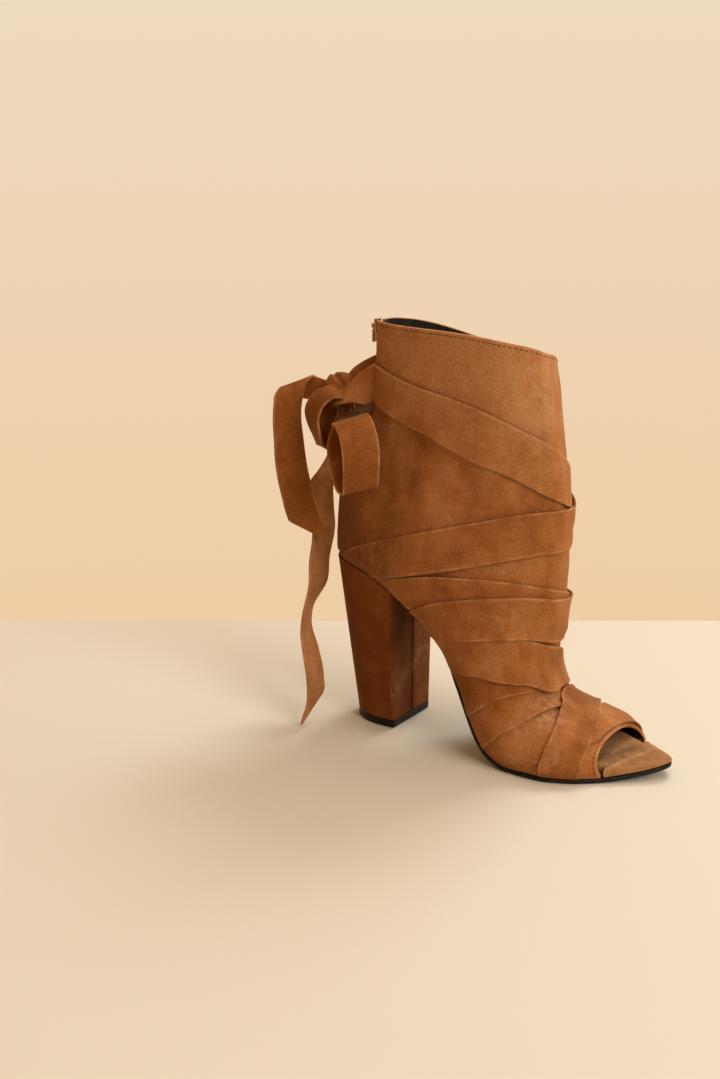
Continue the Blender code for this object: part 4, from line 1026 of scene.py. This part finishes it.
def strap_rings(rows, bed, seed):
    """Rings of a strap: its flat section with round edges, carried round the upper at the height
    of its bed.  Near the sole it is skived thin, its edges stand off here and there, and over
    the ridge of the toe all the layers are pressed flatter by the same share."""
    first = rows[0][0]
    last = rows[-1][0]
    u = np.linspace(first, last, int(RINGS_ROUND * (last - first)) + RINGS_LEAST)
    low, high = np.moveaxis(smooth(np.array(rows), u), -1, 0)
    middle = (low + high) / 2
    near = 0.1
    scale = np.linalg.norm(surface(u, middle + near) - surface(u, middle - near), axis=-1) / (2 * near)
    inset = 0.5 * STRAP_THICK / scale
    v = middle[:, None] + ((high - low) / 2 - inset)[:, None] * BAND_PLACE
    v = np.clip(v, 0.0, COLLAR_ROW)
    u = np.broadcast_to(u[:, None], v.shape)
    thinned = SKIVE_LEFT + (1 - SKIVE_LEFT) * ramp(0.0, SKIVE_RUN, np.minimum(u, 1 - u))
    skived = np.where(v < SKIVE_ROW, thinned, 1.0)
    over_toe = bell(u - TOE_PRESS_U[0], TOE_PRESS_U[1]) * bell(v - TOE_PRESS_V[0], TOE_PRESS_V[1])
    flatter = skived * (1 - TOE_PRESS * over_toe)
    waves = u * (STAND_WAVES + STAND_WAVES_MORE * seed)
    wave = 0.5 + 0.5 * np.sin(waves + seed * STAND_PHASE + STAND_SKEW * BAND_PLACE)
    stand = STRAP_STAND * wave * np.abs(BAND_PLACE) ** STAND_POWER
    crown = 1 - STRAP_CROWN * (1 - BAND_PLACE ** 2)
    lift = (sample(bed, u, v) + stand + STRAP_THICK * BAND_HEIGHT * crown) * flatter
    edge = BAND_REACH * 0.5 * STRAP_THICK * flatter
    step = 0.02
    up = unit(surface(u, np.minimum(v + step, COLLAR_ROW)) - surface(u, np.minimum(v, COLLAR_ROW - step)))
    return surface(u, v, slot_at(v)) + outward(u, v) * lift[..., None] + up * edge[..., None]


def swept(rows, count, thick):
    """Rings of a flat band carried along rows of x, y, z, width direction and width.  Gives the
    rings, their middle line, the direction along it and the distance along it to each row."""
    table = np.array(rows, float)
    far = lengths_along(table[:, :3])
    both = rounded(np.column_stack((far, table)), np.linspace(0, far[-1], count))
    path = both[:, :3]
    along = unit(np.gradient(path, axis=0))
    side = unit(both[:, 3:6])
    out = unit(np.cross(along, side))
    edge = BAND_REACH - np.sign(BAND_PLACE) * BAND_EDGE
    across = both[:, 6:] / 2 * BAND_PLACE + 0.5 * thick * edge
    rise = (BAND_HEIGHT - 0.5) * thick
    rings = path[:, None] + side[:, None] * across[..., None] + out[:, None] * rise[:, None]
    return rings, path, along, far


def to_knot(rings, rows):
    """Rings of a tie carried on from the last one along the tie's rows, into the knot.  Over the
    first part of the way the last ring turns into the band's own section."""
    last = rings[-1]
    outer_half = BAND_EDGE & (BAND_HEIGHT > 0.5)
    high = last[outer_half & (BAND_PLACE > 0)].mean(axis=0)
    low = last[outer_half & (BAND_PLACE < 0)].mean(axis=0)
    lead = (*last.mean(axis=0), *unit(high - low), np.linalg.norm(high - low))
    more, _, _, _ = swept((lead,) + rows, TIE_RINGS, STRAP_THICK)
    faced, wanted = (ring[BAND_FACE].mean(axis=0) - ring[~BAND_FACE].mean(axis=0)
                     for ring in (more[0], last))
    if faced @ wanted < 0:
        more = more[:, ::-1]
    share = ramp(0.0, TIE_TURN, np.linspace(0, 1, TIE_RINGS))[:, None, None]
    carried = last - last.mean(axis=0) + more.mean(axis=1, keepdims=True)
    more = carried * (1 - share) + more * share
    return np.concatenate((rings, more[1:]))


def build_straps():
    """Every strap over the upper, dark on its cut edges and darker along its lower edge as painted shade;
    the two ankle ties run on to the knot.
    """
    foot = np.array((0.0, 0.0, FOOT_TALL - STRAP_FOOT_GAP))
    # Darkened cut edges: the lower half of every edge, and nearly all of each lower edge as painted shade
    cut = BAND_EDGE & (BAND_HEIGHT < np.where(BAND_PLACE < 0, CUT_LOWER_TOP, CUT_UPPER_TOP))
    for layer, ((name, tone, rows), bed) in enumerate(zip(STRAPS, strap_beds())):
        rings = strap_rings(rows, bed, layer)
        if rows[0][0] == 0.0:
            rings = np.concatenate((rings[:1] - foot, rings))
        if rows[-1][0] == 1.0:
            rings = np.concatenate((rings, rings[-1:] - foot))
        z = rings[..., 2]
        floor = feather(rings[..., 0]) + STRAP_OVER_SOLE
        rings[..., 2] = np.maximum(z, np.where(z < floor + STRAP_FOOT_REACH, floor, 0.0))
        if rows[0][0] == TIE_END:
            rings = to_knot(rings[::-1], TIE_INNER)
        if rows[-1][0] == 1 - TIE_END:
            rings = to_knot(rings, TIE_OUTER)
        points = rings.reshape(-1, 3)
        values = marks_at(points)
        values["tone"] += tone
        values["stain"] += CUT_STAIN_AND_SHADE * on_rings(cut, rings)
        edge = on_rings(ramp(STRAP_RUB_FROM, 1.0, np.abs(BAND_PLACE)), rings)
        add_piece(name + "_suede", points, tube(rings), (SUEDE,), "suede", (name,), edge=edge, **values)


def ribbon(name, width, slant, loop, tail, tail_tone_and_shade, shaded, nodes, knot):
    """One ribbon of the bow: a flat section with round edges carried along the loop, back through the knot
    and down the tail.  It is gathered into folds at the knot and its free end is cut on a slant.  Its
    gathers, the start of the near loop, the whole loop and the arched tail are darkened as painted shade."""
    rings, path, along, far = swept(loop + (THROUGH_KNOT,) + tail, RIBBON_RINGS, RIBBON_THICK)
    at = np.linspace(0, far[-1], RIBBON_RINGS)
    side = rings[:, np.argmax(BAND_PLACE)] - rings[:, np.argmin(BAND_PLACE)]
    out = unit(np.cross(along, side))
    back_in = far[len(loop) - 1]
    back_out = far[len(loop) + 1]
    away = np.maximum(np.maximum(back_in - at, at - back_out), 0.0)
    loose = ramp(0, GATHER_LONG, at) * ramp(0, GATHER_LONG, away)
    gathered = GATHER_DEEP * np.cos(2 * np.pi * GATHER_WAVES * BAND_PLACE)
    fold = (1 - loose)[:, None] * gathered + loose[:, None] * RIBBON_CUP * BAND_PLACE ** 2
    cut = slant * ramp(far[-1] - SLANT_RUN * abs(slant) - SLANT_LEAD, far[-1], at)
    skew = cut[:, None] * 0.5 * BAND_PLACE
    rings = rings + out[:, None] * fold[..., None] + along[:, None] * skew[..., None]
    edge = on_rings(ramp(RIBBON_RUB_FROM, 1.0, np.abs(BAND_PLACE)), rings)
    # Painted shade in the gathers at the knot and over the start of the loop
    stain = np.maximum(GATHER_PAINTED_SHADE * (1 - loose), ramp(shaded + SHADE_FADE, shaded, at))
    # The loop is darker as painted shade; the tail takes its own tone, which on the arched tail is painted
    # shade
    tone = np.where(at > back_out, tail_tone_and_shade, LOOP_PAINTED_SHADE)
    size = len(BAND_PLACE)
    obj = add_piece(name, rings, tube(rings), (SUEDE,), "suede", nodes, edge=edge,
                    scuff=np.zeros(edge.size), stain=np.repeat(stain, size), tone=np.repeat(tone, size))
    path[0] * MM
    path * MM


def build_bow():
    """The knot, with the folds of the ties wound round it, and the two ribbons.  The knot is a
    row of ellipses along X, pressed in by a bell along each winding fold."""
    along = np.linspace(KNOT_ROWS[0, 0], KNOT_ROWS[-1, 0], KNOT_RINGS)
    size = rounded(KNOT_ROWS, along)
    turn = turns(KNOT_SIDES) + np.pi / KNOT_SIDES
    trough = np.zeros((KNOT_RINGS, KNOT_SIDES))
    for start, lean, wide, deep in KNOT_FOLDS:
        off = np.angle(np.exp(1j * (turn - start - lean * along[:, None])))
        trough += deep * bell(off, wide)
    y = (size[:, :1] - trough) * np.cos(turn)
    z = (size[:, 1:] - trough) * np.sin(turn)
    rings = np.stack((np.broadcast_to(along[:, None], y.shape), y, z), -1) + KNOT_AT
    none = np.zeros(y.size)
    # The knot is darkened all over as painted shade
    knot = add_piece("bow_knot_wrap", rings, tube(rings), (SUEDE,), "suede", ("bow_knot",),
                     edge=none, scuff=none, stain=none, tone=none + KNOT_PAINTED_SHADE)
    for row in RIBBONS:
        ribbon(*row, knot)


def sole_under(x):
    """Underside of the outsole: flat on the floor under the ball, curved up at the waist and toe."""
    near = 0.2
    steep = (feather(x + near) - feather(x - near)) / (2 * near)
    under = np.maximum(feather(x) - OUTSOLE_THICK * np.sqrt(1 + steep ** 2), 0.0)
    return np.where((x >= REST_BACK) & (x <= REST_FRONT), 0.0, under)


def sole_depth(x):
    """Thickness of the outsole, up to the line where the suede meets it."""
    return feather(x) - sole_under(x)


def insole_under(x):
    """Underside of the insole, just above the outsole."""
    return feather(x) + SEAT_GAP


def insole_depth(x):
    """Thickness of the padded insole."""
    return smooth(INSOLE_ROWS, x)[..., 0]


def sole_plate(x, inset_outer, inset_inner, under, depth, edge_round, roll):
    """Layer of the sole: its outline at the stations x, drawn in towards the centre line by a
    profile that goes from the middle of the top over the round edge to the middle of the
    bottom.  Its rim may roll down at the toe."""
    side_outer, side_inner, middle = sole_sides(x)
    outer, inner = (
        np.maximum(side - inset * np.sqrt(1 + np.clip(np.gradient(side, x), -PLATE_LEAN, PLATE_LEAN) ** 2),
                   PLATE_THIN)
        for side, inset in ((side_outer, inset_outer), (side_inner, inset_inner)))
    outline_x = np.concatenate((x, x[::-1]))
    outline_y = np.concatenate((middle - outer, (middle + inner)[::-1]))
    outline = np.stack((outline_x, outline_y), -1)
    reach = np.clip(outline_x, x[0] + PLATE_CENTRE_HEEL, x[-1] - PLATE_CENTRE_TOE)
    centre = np.stack((reach, np.interp(reach, x, middle)), -1)
    far = np.linalg.norm(outline - centre, axis=-1, keepdims=True)
    turn = np.linspace(np.pi / 2, -np.pi / 2, PLATE_EDGE_STEPS)
    share = np.linspace(0, 1, PLATE_FLAT_STEPS + 1)[:-1, None, None]
    flat = centre + (outline - centre) * share * (1 - edge_round / np.maximum(far, edge_round))
    drawn = np.minimum(edge_round * (1 - np.cos(turn))[:, None, None], far)
    rim = outline + (centre - outline) / np.maximum(far, PLATE_NEAR) * drawn
    ends = np.ones(PLATE_FLAT_STEPS)
    level = np.concatenate((ends, 0.5 + 0.5 * np.sin(turn), 0 * ends))[:, None]
    xy = np.concatenate((flat, rim, flat[::-1]))
    off_centre = np.linalg.norm(xy - centre, axis=-1) / np.maximum(far[:, 0], PLATE_NEAR)
    at_rim = np.clip(off_centre, 0, 1) ** TOE_ROLL_POWER
    rolled = roll * level * ramp(*TOE_ROLL_ENDS, xy[..., 0]) * at_rim
    z = under(xy[..., 0]) + depth(xy[..., 0]) * level - rolled
    return np.concatenate((xy, z[..., None]), axis=-1)


def build_soles():
    """Outsole from the heel breast to the toe, and the padded insole with the prints of the toes, the ball
    and the heel rubbed into it and a pale streak across its toe end.  Near and under the upper's toe rim
    the insole is darker, partly as painted shade."""
    waist = np.linspace(BREAST_X + SEAT_GAP, REST_FRONT, WAIST_STEPS)[:-1]
    toe_long = TOE_X - TOE_TIP_GAP - REST_FRONT
    toe = REST_FRONT + toe_long * np.sin(np.linspace(0, np.pi / 2, TOE_STEPS))
    x = np.concatenate((waist, toe))
    inset = WAIST_INSET * ramp(*WAIST_ENDS, x)
    rings = sole_plate(x, inset, inset, sole_under, sole_depth, OUTSOLE_EDGE, 0.0)
    add_piece("outsole_edge", rings, tube(rings), (RUBBER,), "sole", ("outsole",), merge=True)

    inside = FOOT_INSET + WALL + INSOLE_GAP
    seat = x[0] - HEEL_X - inside
    heel = x[0] - seat * np.cos(np.linspace(0, np.pi / 2, SEAT_STEPS))[:-1]
    x = np.concatenate((heel, x))
    narrow = SEAT_INSET * ramp(*SEAT_ENDS, x)
    inset_outer = inside * ramp(*OUTER_RIM_ENDS, x) + narrow
    inset_inner = inside * ramp(*INNER_RIM_ENDS, x) + narrow
    rings = sole_plate(x, inset_outer, inset_inner, insole_under, insole_depth, INSOLE_EDGE, TOE_ROLL)
    at_x = rings[..., 0].ravel()
    at_y = rings[..., 1].ravel()
    stain = np.zeros(at_x.size)
    for print_x, print_y, long, wide, strength in PRINTS:
        stain += strength * bell(at_x - print_x, long) * bell(at_y - print_y, wide)
    streak_x, streak_y, lean, bend, wide = STREAK
    from_side = at_y - streak_y
    from_streak = at_x - (streak_x + lean * from_side - bend * from_side ** 2)
    streak = bell(from_streak, wide) * ramp(*STREAK_OUTER_ENDS, at_y) * ramp(*STREAK_INNER_ENDS, at_y)
    # Darker ahead of the streak, and behind it, under the toe rim, darker partly as painted shade
    ahead = AHEAD_TONE * ramp(*AHEAD_ENDS, from_streak)
    behind = BEHIND_TONE * ramp(*BEHIND_ENDS, from_streak)
    add_piece("insole_sock", rings, tube(rings), (INSOLE_SUEDE,), "suede", ("insole",), merge=True,
              edge=np.zeros(at_x.size), scuff=TOE_RUB * ramp(*TOE_RUB_ENDS, at_x) + STREAK_RUB * streak,
              stain=np.minimum(stain, 1.0), tone=ahead + behind)


def heel_ring(level):
    """Outline of the heel at a share of its height, evenly spaced and with its corners rounded:
    a half ellipse behind, straight sides and a flat breast.  It starts half way round."""
    turn = np.linspace(-np.pi / 2, np.pi / 2, HEEL_BACK_STEPS)
    foot_x = HEEL_FOOT_CENTRE - HEEL_FOOT_BACK * np.cos(turn)
    foot_y = HEEL_FOOT_Y + HEEL_FOOT_HALF * np.sin(turn)
    top_x = HEEL_TOP_CENTRE + (HEEL_X - HEEL_TOP_CENTRE + HEEL_TOP_GAP) * np.cos(turn)
    side_outer, side_inner, middle = sole_sides(top_x)
    top_y = middle + np.where(turn < 0, -side_outer, side_inner)
    x = foot_x + (top_x - foot_x) * level
    y = foot_y + (top_y - foot_y) * level
    breast = np.linspace(y[-1], y[0], HEEL_BREAST_STEPS)
    ring_x = np.concatenate((x, np.full(HEEL_BREAST_STEPS, BREAST_X), x[:1]))
    ring_y = np.concatenate((y, breast, y[:1]))
    ring = np.stack((ring_x, ring_y), -1)
    far = lengths_along(ring)
    even = places_along(np.linspace(0, far[-1], HEEL_AROUND + 1)[:-1], far, ring)
    near = [np.roll(even, k, axis=0) for k in range(-CORNER_REACH, CORNER_REACH + 1)]
    return np.roll(np.mean(near, axis=0), -HEEL_AROUND // 2, axis=0)


def build_heel():
    """Suede-covered block, its cover sewn down the middle of the breast, and the rubber top piece
    with a worn bottom edge."""
    levels = np.linspace(0, 1, HEEL_LEVELS)
    outlines = np.array([heel_ring(level) for level in levels])
    top = feather(outlines[..., 0]) - SEAT_GAP / 2
    z = TOP_PIECE_TALL + (top - TOP_PIECE_TALL) * levels[:, None]
    rings = np.concatenate((outlines, z[..., None]), axis=-1)
    front = ramp(BREAST_X - BREAST_FADE[0], BREAST_X - BREAST_FADE[1], rings[..., 0])
    seam = front * bell(rings[..., 1] - HEEL_FOOT_Y, SEAM_WIDE)
    rings[..., 0] -= SEAM_DEEP * seam
    x, y, z = rings.reshape(-1, 3).T
    front = front.ravel()
    seam = seam.ravel()
    on_breast = x > BREAST_X - BREAST_NEAR
    inner_half = ramp(*BREAST_INNER_ENDS, y)
    corner = bell(x - BREAST_X, BREAST_CORNER) * (1 - ramp(*CORNER_ENDS, HEEL_FOOT_HALF - np.abs(y)))
    scrape = bell(z - SCRAPE_Z - SCRAPE_LEAN * y, SCRAPE_TALL) * on_breast
    dark_patch = bell(z - BREAST_DARK_Z, BREAST_DARK_TALL) * on_breast * (y < BREAST_DARK_Y)
    # The breast is darker as painted shade and its inner half paler as painted light, in the tone and in a
    # pale rub over that half; the seam down the breast is dark, and so is a patch high on its outer half
    add_piece("heel_cover", rings, tube(rings), (HEEL_SUEDE,), "suede", ("heel_block",),
              edge=CORNER_RUB * corner, scuff=SCRAPE_RUB * scrape + BREAST_INNER_RUB_AND_LIGHT * front * inner_half,
              stain=np.clip(seam + BREAST_DARK_PATCH * dark_patch, 0, 1),
              tone=front * (BREAST_INNER_PAINTED_LIGHT * inner_half + BREAST_PAINTED_SHADE))

    outline = heel_ring(0.0)
    inwards = unit(np.array((TOP_PIECE_X, HEEL_FOOT_Y)) - outline)
    rings = np.array([np.column_stack((outline + inwards * inset, np.full(len(outline), height)))
                      for height, inset in TOP_PIECE_ROWS])
    add_piece("heel_top_lift", rings, tube(rings), (RUBBER,), "sole", ("heel_top_piece",))


def stitches(name, line, out):
    """Row of stitches along a line: each is a round stick with its ends sunk into the suede."""
    far = lengths_along(line)
    starts = np.arange(STITCH_START, far[-1] - STITCH_LONG, STITCH_LONG + STITCH_GAP)
    at = starts[:, None] + STITCH_LONG * np.linspace(0, 1, len(STITCH_RISE))
    normal = unit(places_along(at, far, out))
    path = places_along(at, far, line) + normal * STITCH_RISE[:, None]
    along = unit(np.gradient(path, axis=1))
    side = np.cross(along, normal)
    turn = turns(STITCH_SIDES)[:, None]
    spokes = normal[:, :, None] * np.cos(turn) + side[:, :, None] * np.sin(turn)
    rings = path[:, :, None] + STITCH_THICK / 2 * spokes
    add_piece(name, rings, tubes(rings), (THREAD,), "suede", sharp=ALL_SMOOTH)


def build_stitching():
    """Stitch rows a few millimetres in from the collar edge and from the toe rim, on both panels."""
    near = 0.2
    for name, is_outer, rim, into, low, high in STITCH_ROWS:
        u = np.linspace(low, high, LINE_STEPS)
        step = surface(u, rim + math.copysign(near, into)) - surface(u, rim)
        v = rim + near * into / np.linalg.norm(step, axis=-1)
        stitches(name, *on_panel(u, v, is_outer))


def build_zip():
    """Coil of the zip: short round teeth across the slot, all the way up the back seam, moved by
    turns to each side.  The zip's own nodes get their finishes."""
    v = np.linspace(ZIP_ROW + TOOTH_START, COLLAR_ROW - TOOTH_STOP, ZIP_STEPS)
    upright = np.array((1.0, 0.0, 1.0))
    line = surface(0.0, v) * upright - unit(outward(SEAM_U, v) * upright) * TOOTH_SUNK
    far = lengths_along(line)
    at = np.arange(0, far[-1], TOOTH_PITCH)
    turn = turns(TOOTH_SIDES)
    y, size = TOOTH_ROWS.T[..., None]
    tooth = np.stack(np.broadcast_arrays(size * np.cos(turn), y, size * np.sin(turn)), -1)
    rings = places_along(at, far, line)[:, None, None] + tooth
    rings[0::2, ..., 1] += TOOTH_LEAN
    rings[1::2, ..., 1] -= TOOTH_LEAN
    add_piece("zip_teeth", rings, tubes(rings), (TAPE,), "tape", sharp=ALL_SMOOTH)
    for node, finish in (("zip_tape", TAPE), ("zip_slider", COPPER), ("zip_pull", COPPER)):
        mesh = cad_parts[node].data
        mesh.materials.clear()
        mesh.materials.append(finish)


# Stage, in metres: camera, floor, backdrop and lamps
CAMERA_AT = np.array((0.3838, -0.7368, 0.343))
VIEW_TURN = math.radians(33.0)
VIEW_DOWN = math.radians(15.0)
AHEAD = np.array((-math.sin(VIEW_TURN), math.cos(VIEW_TURN), 0.0))
RIGHT = np.array((math.cos(VIEW_TURN), math.sin(VIEW_TURN), 0.0))
LENS_MM = 50.0
SENSOR_MM = 36.0
FLOOR_BACK = 1.05
FLOOR_LONG = 4.0
FLOOR_HALF = 2.5
FLOOR_Z = -0.0002
FLOOR_CLOUD_MM = 400.0
FLOOR_COLOURS = ((0.70, 0.672, 0.60), (0.725, 0.70, 0.625))
WALL_LOW = (0.86, 0.61, 0.375)
WALL_HIGH = (0.863, 0.701, 0.521)
WALL_ENDS = (-0.31, 0.08)
WORLD_DIM = (0.385, 0.205, 0.045)
VIEW_ENDS = (0.55, 0.85)
# Each lamp: name, place, what it points at, size, power, colour
LAMPS = (
    ("key_lamp", (3.10, -0.98, 1.80), (0.0, 0.0, 0.10), 2.0, 74.0, (1.0, 0.95, 0.885)),
    ("side_lamp", (2.00, 2.40, 1.00), (-0.05, 0.0, 0.06), 1.4, 20.0, (1.0, 0.95, 0.885)),
    ("back_lamp", (0.05, 2.00, 2.40), (0.0, 0.0, 0.05), 1.2, 45.0, (1.0, 0.96, 0.90)),
    ("top_lamp", (0.25, 0.0, 1.4), (0.0, 0.0, 0.10), 1.0, 5.0, (1.0, 0.95, 0.88)))


def build_camera():
    """Camera at the photograph's place."""
    lens = bpy.data.cameras.new("camera")
    lens.lens = LENS_MM
    lens.sensor_width = SENSOR_MM
    camera = bpy.data.objects.new("camera", lens)
    camera.location = CAMERA_AT
    camera.rotation_euler = (math.pi / 2 - VIEW_DOWN, 0.0, VIEW_TURN)
    bpy.context.scene.collection.objects.link(camera)
    bpy.context.scene.camera = camera


def build_floor():
    """Pale, faintly cloudy floor that ends behind the shoe."""
    back = CAMERA_AT + AHEAD * FLOOR_BACK
    back[2] = FLOOR_Z
    across = RIGHT * FLOOR_HALF
    front = back - AHEAD * FLOOR_LONG
    corners = [tuple(c) for c in (front - across, front + across, back + across, back - across)]
    mesh = bpy.data.meshes.new("floor")
    mesh.from_pydata(corners, [], [(0, 1, 2, 3)])
    finish = Finish("pale_floor", Roughness=0.7, Specular_IOR_Level=0.2)
    mesh.materials.append(finish.paint(Base_Color=finish.mix(finish.noise(FLOOR_CLOUD_MM), *FLOOR_COLOURS)))
    floor = bpy.data.objects.new("floor", mesh)
    bpy.context.scene.collection.objects.link(floor)


def build_backdrop():
    """Peach backdrop as the world: paler upwards in the direction of view, and dim elsewhere."""
    world = bpy.data.worlds.new("backdrop")
    world.use_nodes = True
    nodes = Nodes(world.node_tree)
    direction = nodes.node("TexCoord", out="Generated")
    up = nodes.node("SeparateXYZ", {}, {0: direction}, out="Z")
    toward = nodes.node("VectorMath", {"operation": "DOT_PRODUCT"},
                        {0: direction, 1: tuple(AHEAD)}, out="Value")
    wall = nodes.mix(nodes.step(up, *WALL_ENDS, kind="LINEAR"), WALL_LOW, WALL_HIGH)
    colour = nodes.mix(nodes.step(toward, *VIEW_ENDS, kind="LINEAR"), WORLD_DIM, wall)
    nodes.feed(world.node_tree.nodes["Background"].inputs["Color"], colour)
    bpy.context.scene.world = world


def build_lamps():
    """Soft square lamps, each turned to face what it points at."""
    for name, at, aim, size, power, colour in LAMPS:
        lamp = bpy.data.lights.new(name, "AREA")
        lamp.size = size
        lamp.energy = power
        lamp.color = colour
        holder = bpy.data.objects.new(name, lamp)
        away = np.array(at) - np.array(aim)
        flat = math.hypot(away[0], away[1])
        holder.location = at
        holder.rotation_euler = (math.atan2(flat, away[2]), 0.0, math.atan2(away[1], away[0]) + math.pi / 2)
        bpy.context.scene.collection.objects.link(holder)
    bpy.context.scene.view_settings.view_transform = "Standard"


build_camera()
build_floor()
build_backdrop()
build_lamps()
build_bow()
build_upper()
build_straps()
build_soles()
build_heel()
build_stitching()
build_zip()
